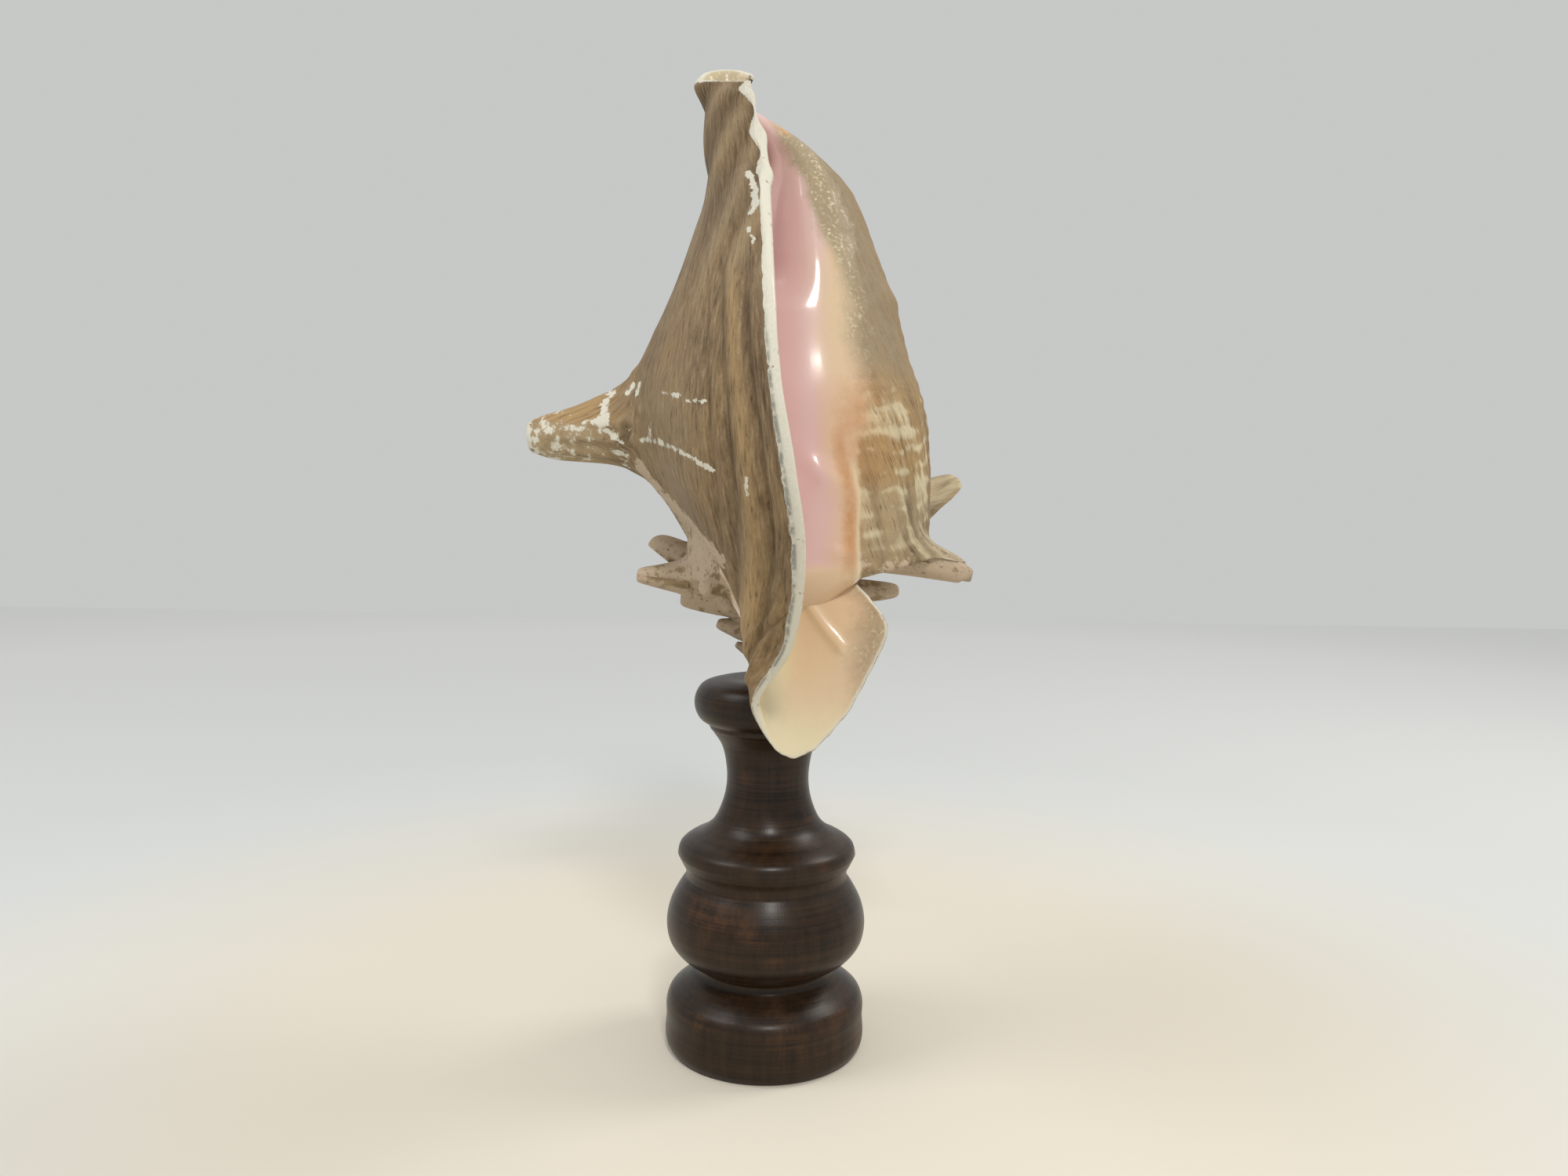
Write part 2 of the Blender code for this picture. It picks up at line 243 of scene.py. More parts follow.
def capped_ring(points: Array, masks: Masks, uv: Array) -> Surface:
    """Surface of a grid whose columns close in a ring and whose end rows close in a point.

    Args:
        points: rows x columns x 3, rows from the bottom up, columns counter-clockwise from above.
        masks: named rows x columns arrays.
        uv: rows x columns x 2.

    Returns:
        The closed surface.
    """
    rows, columns, _ = points.shape
    index = np.arange(rows * columns).reshape(rows, columns)
    after = np.roll(index, -1, axis=1)
    faces = stacked(index[:-1], after[:-1], after[1:], index[1:]).reshape(-1, 4).tolist()
    bottom, top = rows * columns, rows * columns + 1
    faces += stacked(after[0], index[0], np.full(columns, bottom)).tolist()
    faces += stacked(index[-1], after[-1], np.full(columns, top)).tolist()

    def with_poles(grid: Array) -> Array:
        """The grid's rows in one list, with the mean of each end row added."""
        ends = np.stack([grid[0].mean(axis=0), grid[-1].mean(axis=0)])
        return np.concatenate([grid.reshape(rows * columns, *grid.shape[2:]), ends])

    masks = {key: with_poles(mask) for key, mask in masks.items()}
    return Surface(with_poles(points), faces, masks, with_poles(uv))


def two_sided(outer: Array, inner: Array, outer_masks: Masks, inner_masks: Masks, uv: Array) -> Surface:
    """Closed surface of two grids that share their border.

    Args:
        outer: rows x columns x 3, on the side that the grid's own normal points to.
        inner: the same for the other side.
        outer_masks: named rows x columns arrays of the outer side.
        inner_masks: the same for the inner side.
        uv: rows x columns x 2, for both sides.

    Returns:
        The closed surface.
    """
    rows, columns, _ = outer.shape
    inside = (slice(1, -1), slice(1, -1))
    index = np.arange(rows * columns).reshape(rows, columns)
    back = index.copy()
    back[inside] = rows * columns + np.arange((rows - 2) * (columns - 2)).reshape(rows - 2, columns - 2)
    front = stacked(index[:-1, :-1], index[1:, :-1], index[1:, 1:], index[:-1, 1:])
    reverse = stacked(back[:-1, :-1], back[:-1, 1:], back[1:, 1:], back[1:, :-1])

    def joined(first: Array, second: Array) -> Array:
        """All of the first grid and the inside of the second, in one list."""
        tail = first.shape[2:]
        return np.concatenate([first.reshape(rows * columns, *tail), second[inside].reshape(-1, *tail)])

    masks = {key: joined(outer_masks[key], inner_masks[key]) for key in outer_masks}
    faces = np.concatenate([front.reshape(-1, 4), reverse.reshape(-1, 4)]).tolist()
    return Surface(joined(outer, inner), faces, masks, joined(uv, uv))


def unit_normals(points: Array) -> Array:
    """Unit normals of a grid: the cross product of its row and column directions."""
    normal = np.cross(np.gradient(points, axis=0), np.gradient(points, axis=1))
    return normal / np.maximum(np.linalg.norm(normal, axis=-1, keepdims=True), 1e-9)


def walked(points: Array, axis: int) -> Array:
    """Distance walked along one axis of a grid, from 0 at its start."""
    steps = np.linalg.norm(np.diff(points, axis=axis), axis=-1)
    start = np.zeros_like(np.take(steps, [0], axis=axis))
    return np.concatenate([start, np.cumsum(steps, axis=axis)], axis=axis)


@dataclass(frozen=True)
class Spine:
    """A blunt spine on the keel, in mm.

    Attributes:
        azimuth: direction about the axis, in degrees.
        turn: place along the keel, in whorls from the great spine.
        length: reach beyond the keel.
        root: radius at half its length.
        rise: height of the tip above the foot.
    """

    azimuth: float
    turn: float
    length: float
    root: float
    rise: float

    def draw_out(
        self, points: Array, keel_radius: float, skin_radius: float, height: float
    ) -> tuple[Array, Array]:
        """Move the points round the spine's foot out along it.

        A point at a distance d from the spine's line goes the share 1 / (1 + (d / root)^5) of its
        way to the plane of the tip, so the spine is blunt and flares into the whorl at its foot.
        Points well behind the foot or past the tip stay where they are.

        Args:
            points: grid of points.
            keel_radius: radius of the keel that the spine's length is counted from.
            skin_radius: radius of the whorl's skin under the spine.
            height: height of the keel there.

        Returns:
            The moved points, and each one's share of the reach.
        """
        angle = math.radians(self.azimuth)
        out = np.array([math.cos(angle), math.sin(angle), 0.0])
        foot = skin_radius * out + (0, 0, height)
        way = (keel_radius + self.length - skin_radius) * out + (0, 0, self.rise)
        reach = np.linalg.norm(way)
        along = (points - foot) @ way / reach
        across = np.linalg.norm(points - foot - along[..., None] * way / reach, axis=-1)
        wander = 1 + 0.12 * lattice_noise(points, 3.5, int(self.azimuth) + 3)
        lift = 1 / (1 + (across * wander / self.root) ** 5)
        lift *= rise(along, -2.4 * self.root, 1.2 * self.root) * fall(along, reach + 2.5, 2)
        return points + (lift * (1 - along / reach))[..., None] * way, lift


@dataclass
class Whorls:
    """The coiling law of the shell, in mm: its keel, its body whorl and its inner wall.

    Attributes:
        keel: turn, in whorls from the great spine, radius and height of the keel.
        profile: height, centre's x, right radius and left radius of the body whorl.
        inner_wall: azimuth, and share of the right radius that the aperture's inner wall keeps.
        apex: height of the spire's end.
        apex_rounding: height over which the spire's end is rounded.
        whorls: number of whorls under the last one.
        suture_rise: share of the height between two keels at which their suture lies.
        ramp_power: how hollow the ramp from a keel down to its suture is.
    """

    keel: tuple[Point, ...] = (
        (-7, 2.2, 131), (-6, 3, 133.6), (-5, 4.2, 137.2), (-4, 6, 142.3), (-3, 9.4, 150.4),
        (-2, 17, 160.6), (-1.5, 22.5, 164.4), (-1, 29.4, 168), (-0.75, 38, 170), (-0.625, 46, 173),
        (-0.5, 51, 180), (-0.375, 53, 193), (-0.25, 54, 204), (-0.125, 54, 212), (0, 54, 219),
        (0.2, 54, 228),
    )
    profile: tuple[tuple[float, float, float, float], ...] = (
        (150, 0, 56, 54), (190, 0, 56, 54), (214, 0, 55.6, 54), (232, 0, 53, 50.4),
        (248, 0, 47.4, 44.6), (262, 0, 43.4, 38.4), (275, 0, 39, 33.2), (286, 1, 33.4, 29.4),
        (298, 2, 27.6, 26.4), (306, 3, 22, 26.4), (315, 2, 14, 26), (322, -2, 9.6, 22.6),
        (328, -7, 5, 18), (333, -11, 0.6, 15), (342, -17.4, 0.6, 11.4), (349, -17.4, 0.6, 11.6),
    )
    inner_wall: Path = ((-225, 0.50), (-180, 0.52), (-135, 0.58), (-90, 0.70), (-45, 0.88), (0, 1))
    apex: float = 129.4
    apex_rounding: float = 4
    whorls: int = 7
    suture_rise: float = 0.30
    ramp_power: float = 1.15

    def keel_at(self, turn: Array) -> tuple[Array, Array]:
        """Radius and height of the keel at a turn."""
        turns, radii, heights = np.array(self.keel).T
        return smooth_through(turns, radii, turn), smooth_through(turns, heights, turn)

    def above_keel(self, azimuth: Array, height: Array) -> Array:
        """How far a height is above the last whorl's keel at an azimuth."""
        return height - self.keel_at(azimuth / 360 - 0.5)[1]

    def profile_at(self, height: Array) -> tuple[Array, Array, Array]:
        """Centre x, right radius and left radius of the body whorl at a height."""
        heights, *columns = np.array(self.profile).T
        return tuple(smooth_through(heights, column, height) for column in columns)

    def inner_share(self, azimuth: Array) -> Array:
        """Share of the right radius that the aperture's inner wall keeps at an azimuth up to 0."""
        return read_table(self.inner_wall, np.minimum(azimuth, 0))

    def sharp_radius(self, azimuth: Array, height: Array) -> Array:
        """Radius about the axis: the body profile above the last keel, and below it, for each
        whorl, a ramp from its keel down to the suture and a short wall down to the keel before.

        Args:
            azimuth: direction of each place, in degrees.
            height: height of each place.

        Returns:
            The radius at each place.
        """
        _, right, left = self.profile_at(height)
        grown = 0.5 - 0.5 * np.cos(np.radians(np.clip(azimuth, 0, 180)))
        share = self.inner_share(azimuth)
        radius = np.where(azimuth > 0, right + (left - right) * grown, right * share)
        first_turn = azimuth / 360 - 0.5
        keel_radius, keel_height = self.keel_at(first_turn)
        keel_radius = np.where(azimuth < 0, keel_radius * (0.55 + 0.45 * share), keel_radius)
        for whorl in range(self.whorls):
            below_radius, below_height = self.keel_at(first_turn - whorl - 1)
            suture = below_height + self.suture_rise * (keel_height - below_height)
            ramp = np.clip((height - suture) / np.maximum(keel_height - suture, 0.01), 0, 1)
            grow = np.minimum(keel_radius, radius) - below_radius
            stepped = np.minimum(radius, below_radius + grow * ramp**self.ramp_power)
            radius = np.where(height < keel_height, stepped, radius)
            keel_radius, keel_height = below_radius, below_height
        return radius * np.sqrt(np.clip((height - self.apex) / self.apex_rounding, 0, 1))

    def radius(self, azimuth: Array, height: Array) -> Array:
        """Sharp radius averaged over a short height, which rounds the keels and sutures.

        Args:
            azimuth: direction of each place, in degrees.
            height: height of each place.

        Returns:
            The radius at each place.
        """
        reach = np.clip((height - self.apex) * 0.03, 0.2, 1.6)
        steps = (-1, -0.6, -0.2, 0.2, 0.6, 1)
        return sum(self.sharp_radius(azimuth, height + step * reach) for step in steps) / len(steps)


GREAT_SPINE = Spine(181, 0.06, 32, 9.8, -4)
BODY_SPINES = tuple(Spine(*sizes) for sizes in (
    (116, -0.18, 27, 8.6, 0), (70, -0.31, 27, 8.4, 1), (28, -0.40, 28, 7.6, 15), (-13, -0.536, 7, 11, 3),
    (-13, -0.536, 21, 5.8, -5), (150, -1.08, 24, 7.6, 13), (184, -0.99, 17.6, 5, 2.4),
    (234, -0.85, 4, 4.2, -1), (8, -1.478, 24, 4.6, 1), (60, -1.333, 15, 5, 1), (106, -1.21, 15, 5, 1),
    (180, -2, 15, 3.7, 1), (228, -1.867, 5, 3.6, 0), (272, -1.744, 8, 3.6, 0), (320, -1.611, 12, 4, 0),
    (90, -2.25, 8, 3, 1), (182, -2.99, 9.5, 3, 3), (182, -3.99, 6, 2, 4),
))


class Mask(Enum):
    """The numbers that a shell surface carries for its finish, each from 0 to 1."""

    GLAZE = "glaze"
    PINK = "pink"
    PEACH = "peach"
    CREAM = "cream"
    OLIVE = "olive"
    AMBER = "amber"
    TAN = "tan"
    # Dark mottles and streaks, and on the lip also painted shade in the growth grooves.
    DARK = "dark"
    FADED = "faded"
    BAND = "band"
    WORN = "worn"
    # Grey mottling and painted shade on the inner half of the lower rim.
    GREY_MOTTLE_AND_SHADE = "grey_mottle_and_shade"
    PALE = "pale"


def filled(masks: dict[Mask, Array | float], like: Array) -> Masks:
    """Every mask by its name, held between 0 and 1, with 0 where none is given."""
    return {mask.value: np.clip(masks.get(mask, 0) + 0 * like, 0.0, 1.0) for mask in Mask}


def near_line(x: Array, z: Array, path: Path, width: float) -> Array:
    """1 on a line seen from the front, fading by exp(-(distance / width)^2).

    Args:
        x: x of each place, in mm.
        z: height of each place.
        path: (x, z) corners of the line.
        width: half width of the fade.

    Returns:
        A number from 0 to 1 for each place.
    """
    nearest = np.full(x.shape, np.inf)
    for (x0, z0), (x1, z1) in zip(path, path[1:]):
        dx, dz = x1 - x0, z1 - z0
        share = np.clip(((x - x0) * dx + (z - z0) * dz) / (dx * dx + dz * dz), 0, 1)
        nearest = np.minimum(nearest, np.hypot(x - x0 - share * dx, z - z0 - share * dz))
    return bell(nearest, 0, width)


def strokes(x: Array, z: Array, lines: tuple[Stroke, ...]) -> Array:
    """Sum of lines seen from the front, each given by its height, half width and path."""
    return sum(height * near_line(x, z, path, width) for height, width, path in lines)


def draw_spines(points: Array, whorls: Whorls, spines: tuple[Spine, ...]) -> tuple[Array, Array]:
    """Draw each spine out of a grid of points, one after another.

    Args:
        points: grid of points.
        whorls: coiling law that places the spines.
        spines: the spines to draw.

    Returns:
        The moved points, and for each the largest share of a spine's reach that moved it.
    """
    lifts = np.zeros(points.shape[:-1])
    for spine in spines:
        keel_radius, height = whorls.keel_at(np.array(spine.turn))
        azimuth = (spine.azimuth + 180) % 360 - 180
        skin = keel_radius if spine.turn > -0.05 else whorls.radius(np.array(azimuth), height)
        points, lift = spine.draw_out(points, float(keel_radius), float(skin), float(height))
        lifts = np.maximum(lifts, lift)
    return points, lifts


@dataclass
class ShellBody(Piece):
    """Spire, body whorl, callus and the chamber's inner wall, in one closed surface, in mm.

    Attributes:
        whorls: coiling law of the shell.
        rows: points up the surface.
        columns: points round it.
        top: height of the surface's top.
        chamber_end: azimuths between which the chamber behind the lip runs out.
        skirt: azimuths of the skirt of callus above the lower lobe.
        skirt_foot: height of the skirt's lower edge.
        skirt_height: height over which the skirt rounds out.
        border: height and x of the callus's border.
    """

    whorls: Whorls
    rows: int = 320
    columns: int = 296
    top: float = 333.4
    chamber_end: Pair = (121, 152)
    skirt: Pair = (-122, -50)
    skirt_foot: float = 151
    skirt_height: float = 28
    border: Path = (
        (156, 27), (170, 29), (185, 28.5), (200, 28.5), (215, 25), (233, 25), (260, 24), (290, 19),
        (310, 12), (325, 5), (334, 1),
    )

    def grid(self) -> tuple[Array, Array]:
        """Azimuth in degrees and height in mm of each place, rows closer together in the spire."""
        share = np.linspace(0, 1, self.rows)
        low, high = self.whorls.apex + 0.15, self.top - 0.1
        heights = low + (high - low) * (0.66 * share + 0.34 * share**2.2)
        azimuths = np.linspace(-180, 180, self.columns, endpoint=False)
        height, azimuth = np.meshgrid(heights, azimuths, indexing="ij")
        return azimuth, height

    def plain_points(self) -> Array:
        """Whorl radius about the axis, dug in behind the lip, with a skirt of callus above the
        lower lobe and a deeper slit beside the upper rim."""
        azimuth, height = self.grid()
        radius = self.whorls.radius(azimuth, height)
        centre, right, _ = self.whorls.profile_at(height)
        slit = 1 - 0.32 * window(height, 268, 318, 18) * fall(azimuth, -62, 40)
        radius = radius * np.where(azimuth < 0, slit, 1)
        inner = right * self.whorls.inner_share(azimuth - 360) * slit.min()
        wall = right * self.whorls.inner_share(azimuth) * (0.90 + 0.10 * rise(height, 158, 20))
        hem = window(azimuth, *self.skirt, 26) * (azimuth < 0)
        climbed = np.clip((height - self.skirt_foot) / self.skirt_height, 0, 1)
        skirt = wall * np.sqrt(climbed * (2 - climbed))
        above_keel = self.whorls.above_keel(azimuth, height)
        change = (skirt - radius) * hem * (climbed < 1)
        radius = radius + change * np.where(change > 0, 1, rise(above_keel, -12, 8))
        start, end = self.chamber_end
        dug = inner + (radius - inner) * fall(azimuth, end, end - start)
        in_body = rise(above_keel, -14, 16) * (azimuth > start)
        radius = radius + (np.minimum(radius, dug) - radius) * in_body
        angle = np.radians(azimuth)
        return stacked(centre + radius * np.cos(angle), radius * np.sin(angle), height)

    def callus(self, points: Array) -> tuple[Array, Array]:
        """Distance to the left of the callus's border, and where the front of the last whorl is.

        Args:
            points: the plain body's points.

        Returns:
            Distance in mm, and a number from 0 to 1 that leaves out the spire and the back.
        """
        azimuth, height = self.grid()
        x, y, z = np.moveaxis(points, -1, 0)
        hidden = 34 * fall(azimuth, -116, 8)
        above = rise(self.whorls.above_keel(azimuth, height), hidden - 1, 5)
        hem = window(azimuth, self.skirt[0] + 4, self.skirt[1], 8) * rise(height, self.skirt_foot, 2)
        chamber = above * rise(azimuth, self.chamber_end[0] + 2, 4) * rise(height, 202, 8)
        front = np.where(azimuth < 0, np.maximum(above, hem), chamber)
        return read_table(self.border, z) - x, front * ease((14 - y) / 12 + (azimuth > 90))

    def relief(self, points: Array) -> Array:
        """Height over the plain surface: growth wrinkles, spiral cords, and the callus's folds and
        edge.

        Args:
            points: the plain body's points.

        Returns:
            The height at each point.
        """
        azimuth, height = self.grid()
        x, y, z = np.moveaxis(points, -1, 0)
        inside, front = self.callus(points)
        glazed = rise(inside, -2, 3) * front
        open_skin = (1 - glazed) * fall(azimuth, self.chamber_end[0] + 4, 4)
        open_skin *= 1 - 0.8 * window(azimuth, -80, -2, 30) * rise(height, 232, 14)
        wrinkles = 0.26 * layered_noise(stacked(azimuth, height / 9), 2.6, 41)
        wrinkles += 0.26 * layered_noise(points, 4.5, 42)
        cords = 0.16 * np.sin(2 * math.pi * (height - 0.09 * azimuth) / 5.4)
        cords *= 0.6 + layered_noise(points, 14, 44, 2)
        knob = 1.6 * bell(x, 40.5, 6) * bell(y, -8, 6) * bell(z, 266, 5)
        swell = 0.20 * layered_noise(points, 19, 43, 2)
        swell += 1.4 * bell(height + 0.5 * (azimuth + 69), 206.5, 5) * bell(azimuth, -69, 8)
        swell += 1.6 * bell(height, 180.5, 3.4) * bell(azimuth, -61, 5)
        lip_over = 1.3 * rise(inside, 0, 3) * front * fall(height, 214, 14)
        shelf = 0.6 * fall(height, 179, 4) * front * (azimuth < 0)
        return open_skin * (wrinkles + cords) + knob + glazed * swell + lip_over + shelf

    def masks(self, points: Array, lifts: Array) -> Masks:
        """Where each colour lies on the body.

        Args:
            points: the plain body's points.
            lifts: each point's share of a spine's reach.

        Returns:
            Each mask by its name.
        """
        azimuth, height = self.grid()
        x, _, z = np.moveaxis(points, -1, 0)
        inside, front = self.callus(points)
        front = front * (1 - ease(lifts * 8))
        blur = 2.5 * layered_noise(points, 9, 5)
        upper = rise(z, 200, 26)
        top = rise(z, 262, 30)
        glaze = rise(inside, -1 - upper * (9 + blur), 2.5 + 9 * upper) * front
        above_hem = rise(z + 0.4 * blur, 174.5, 4)
        pink = rise(inside + blur, 2 - 3 * top, 14 - 6 * top) * (0.30 + 0.70 * above_hem)
        olive = fall(inside + blur, 8 + 2 * top, 15 - 8 * top) * window(z + 2 * blur, 238, 336, 30)
        olive *= fall(azimuth - 5 * blur, 4, 34)
        amber = np.maximum.reduce([
            (0.74 + 0.10 * blur) * bell(inside, 3.4, 3.4) * window(z, 172, 222, 14),
            (0.50 + 0.10 * blur) * bell(inside, -2, 9) * window(z, 204, 238, 20),
            0.9 * near_line(x, z, ((-3, 331), (3, 324)), 2.6) * (azimuth < 0),
        ])
        cream = 0.8 * bell(inside, 0, 1.3) * fall(z, 214, 10) + 0.25 * (1 - above_hem)
        cream = np.maximum(cream, 0.40 * rise(z, 222, 24) * bell(inside, 6, 7) * (1 - 0.8 * top))
        turned = stacked(azimuth + 0.22 * height, height / 7)
        bands = 0.5 + 0.5 * np.sin(2 * math.pi * (height - 0.12 * azimuth + 1.5 * blur) / 6.4)
        banded = window(z, 182, 238, 20) * rise(azimuth, -75, 25)
        patchy = layered_noise(turned, 3.2, 31) + 0.9 * layered_noise(points, (16, 16, 5), 33, 2)
        band = banded * np.clip(0.04 + 0.52 * bands**3 + patchy, 0, 1)
        tan = 0.5 * np.maximum(banded, bell(inside, -8, 9) * window(z, 196, 240, 20))
        faded = window(z, 176, 203, 12) * window(x, 26, 54, 12) * (azimuth < 0)
        around = np.maximum(rise(azimuth, 100, 20), fall(azimuth, -120, 10))
        spire = fall(z, 186 + 22 * around, 14)
        spire = np.maximum(spire, ease(lifts * 3) * np.where(azimuth > -40, 0.62, 0.75))
        worn = spire * (0.68 + 0.6 * layered_noise(points, 6, 8)) + 0.3 * rise(lifts, 0.75, 0.2)
        mottle = layered_noise(turned, 5, 12)
        crest = rise(lifts, 0.15, 0.3) * (azimuth > -40)
        crest *= rise(self.whorls.above_keel(azimuth, height), -1, 3)
        dark = np.maximum.reduce([
            0.10 + 0.7 * mottle, rise(x, 38, 12) * (0.35 + 0.9 * mottle),
            spire * (0.25 + 0.9 * layered_noise(points, 3.5, 14)),
            crest * (0.30 + 1.2 * layered_noise(points, 2.4, 36)),
        ])
        return filled({
            Mask.GLAZE: glaze, Mask.PINK: pink, Mask.PEACH: 1, Mask.OLIVE: olive, Mask.AMBER: amber,
            Mask.CREAM: cream, Mask.DARK: dark, Mask.TAN: 0.45 + tan + 0.1 * rise(z, 212, 16),
            Mask.FADED: np.maximum(faded, 0.8 * spire), Mask.WORN: worn * (1 - 0.7 * crest),
            Mask.BAND: np.maximum(band, crest * (0.55 + 0.5 * layered_noise(points, 4, 35))),
        }, x)

    def build(self) -> bpy.types.Object:
        """Make the mesh of the body."""
        plain = self.plain_points()
        azimuth, height = self.grid()
        raised = plain - self.relief(plain)[..., None] * unit_normals(plain)
        points, lifts = draw_spines(raised, self.whorls, BODY_SPINES)
        uv = stacked(np.radians(azimuth + 180) * 45 + 0.40 * height, height)
        return capped_ring(points, self.masks(plain, lifts), uv).to_object("shell_body")


@dataclass
class FlaredLip(Piece):
    """The last half whorl, which opens into the flared lip and its lower lobe, in mm.

    Attributes:
        whorls: coiling law of the shell.
        rows: points from the canal's end to the suture.
        columns: points from the lip's root to its free edge.
        half_thickness: half the wall's thickness.
        root_azimuth: azimuth of the lip's root.
        canal_azimuth: azimuth of the root at the canal's end.
        canal_foot: height at which the canal starts.
        canal_slant: slope of the canal's end.
        root_sink: depth of the root under the body's skin.
        sink_power: how soon the wall comes up out of the skin.
        left_share: share of the columns up to the left outline.
        halfway_share: share of the columns up to the halfway points.
        rounding: share of the grid over which a border is rounded.
        rim: distance along the free edge and width of the white rim.
        folds: height, half width and path of the folds above the lower lobe.
        keel_streak: path of the worn streak along the keel.
        marks: groups of white marks, each mark with its strength, half width and path.
        growth_lines: for each, its height on the left outline, its point on the free edge, and its
            point half way in.
    """

    whorls: Whorls
    rows: int = 330
    columns: int = 144
    half_thickness: float = 1.9
    root_azimuth: float = 112
    canal_azimuth: float = 30
    canal_foot: float = 330
    canal_slant: float = 0.45
    root_sink: float = 5
    sink_power: float = 8
    left_share: float = 0.36
    halfway_share: float = 0.68
    rounding: float = 0.02
    rim: Path = (
        (0, 2), (8, 4.6), (15, 4.2), (20, 1), (27, 1.2), (31, 3.6), (35, 4.8), (40, 3.8), (45.5, 1.8),
        (50, 2.2), (54, 4), (58.5, 4.6), (64, 3.2), (70, 2), (78, 2.4), (95, 2.6), (122, 2.6), (135, 3),
        (155, 3.6), (189, 3.6), (210, 2.8), (235, 2), (252, 1.4), (262, 0.7), (420, 0.7),
    )
    folds: tuple[Stroke, ...] = (
        (1.3, 1.6, ((7, 163), (-1.6, 152.4), (-4.5, 140))),
        (1.3, 1.4, ((4.6, 166), (-2.6, 157), (-6.5, 146))),
        (-1.04, 1, ((5.8, 164.5), (-2.2, 154.6), (-5.4, 143.5))),
        (0.78, 2, ((2, 172), (-5, 160), (-9, 150))),
    )
    keel_streak: Path = ((-46, 209), (-38, 199.5), (-31, 192.5), (-15.5, 178.5))
    marks: tuple[tuple[Stroke, ...], ...] = (
        ((0.85, 1.1, ((-45, 217.5), (-38, 216), (-30, 213), (-24, 210), (-17.5, 206))),),
        ((0.80, 0.9, ((-35, 231), (-29, 229))), (0.80, 0.9, ((-26, 227), (-20, 226.5)))),
        (
            (0.82, 2.4, ((-56, 234), (-58, 229), (-57, 224), (-52.5, 216), (-50.5, 210))),
            (0.82, 1.8, ((-64, 222.5), (-57, 224))),
            (0.82, 1.2, ((-50, 233), (-47, 236))),
        ),
        (
            (0.80, 1, ((-45, 236), (-46.5, 231))),
            (0.80, 0.9, ((-40, 222), (-41, 218))),
            (0.80, 0.9, ((-7.5, 204), (-7, 199))),
        ),
        (
            (0.85, 1.4, ((-9, 299), (-7, 294), (-6.2, 286), (-7.5, 283))),
            (0.85, 1.1, ((-8, 277), (-6.5, 273))),
        ),
    )
    growth_lines: tuple[tuple[float, Point, Point], ...] = (
        (342, (-9.2, -8.5, 342), (-18, -10, 342)),
        (331, (-8, -20, 328), (-18.6, -16, 330)),
        (313, (-3.2, -38, 307), (-18.4, -25, 309)),
        (297, (-2, -61, 285), (-18.4, -34, 290)),
        (281, (-0.8, -83, 259), (-23, -43, 267)),
        (266, (1.5, -94, 232), (-27, -49, 246)),
        (252, (6, -95, 206), (-29.6, -51, 226)),
        (240, (9.6, -84, 181), (-28, -48, 207)),
        (229, (6.6, -63, 153), (-21, -39, 188)),
        (219, (-4, -45, 131), (-10.4, -28, 169)),
        (208, (7, -41, 114), (-4, -26.5, 163)),
        (198, (22, -41, 124.5), (2, -27, 163)),
        (188, (34, -42.5, 146), (7, -28, 165)),
        (180, (37.5, -42, 158.5), (10, -28, 168)),
        (173, (28, -34.5, 171), (9, -23, 169)),
    )

    def shares(self) -> tuple[Array, Array]:
        """Place of each row from canal to suture, and of each column from root to edge."""
        row = np.linspace(0, 1, self.rows)[:, None]
        column = 1 - (1 - np.linspace(0, 1, self.columns)[None, :]) ** 1.35
        return np.broadcast_arrays(row, column)

    def middle(self) -> Array:
        """Middle surface: cubic curves from the root, round the left side and over the halfway
        points to the free edge."""
        places = np.linspace(0, 1, len(self.growth_lines))
        row = self.shares()[0][:, 0]
        height, edge, halfway = (smooth_through(places, values, row) for values in zip(*self.growth_lines))
        in_canal = rise(height, self.canal_foot, self.growth_lines[0][0] - self.canal_foot)
        root = self.root_azimuth + (self.canal_azimuth - self.root_azimuth) * in_canal
        _, rest_keel = self.whorls.keel_at(np.zeros(1))
        guides = []
        left_shares = np.array([0, 0.25, 0.5, 0.75, 1])
        for share in left_shares:
            azimuth = root + (180 - root) * share
            _, own_keel = self.whorls.keel_at(azimuth / 360 - 0.5)
            own_height = height - (rest_keel - own_keel) * fall(height, 300, 80)
            centre, _, left = self.whorls.profile_at(own_height)
            radius = self.whorls.radius(azimuth, own_height)
            radius += (left - radius) * in_canal - self.half_thickness
            radius -= self.root_sink * (1 - share) ** self.sink_power * (1 - in_canal)
            angle = np.radians(azimuth)
            guides.append(stacked(centre + radius * np.cos(angle), radius * np.sin(angle), own_height))
        guides += [halfway, edge]
        across = np.array([*(left_shares * self.left_share), self.halfway_share, 1])
        points = np.swapaxes(smooth_through(across, np.array(guides), self.shares()[1][0]), 0, 1)
        slant = self.canal_slant * rise(height, self.canal_foot, 12)
        points[..., 2] += slant[:, None] * (points[..., 1] + 0.4 * np.maximum(points[..., 1] + 2, 0))
        return points

    def from_border(self, middle: Array) -> tuple[Array, Array, Array]:
        """Distances of each place from the free edge and from the canal's end, and how far along
        the free edge its row lies.

        Args:
            middle: the middle surface.

        Returns:
            The three distances in mm.
        """
        across, along = walked(middle, 1), walked(middle, 0)
        return across[:, -1:] - across, along, np.broadcast_to(along[:, -1:], along.shape)

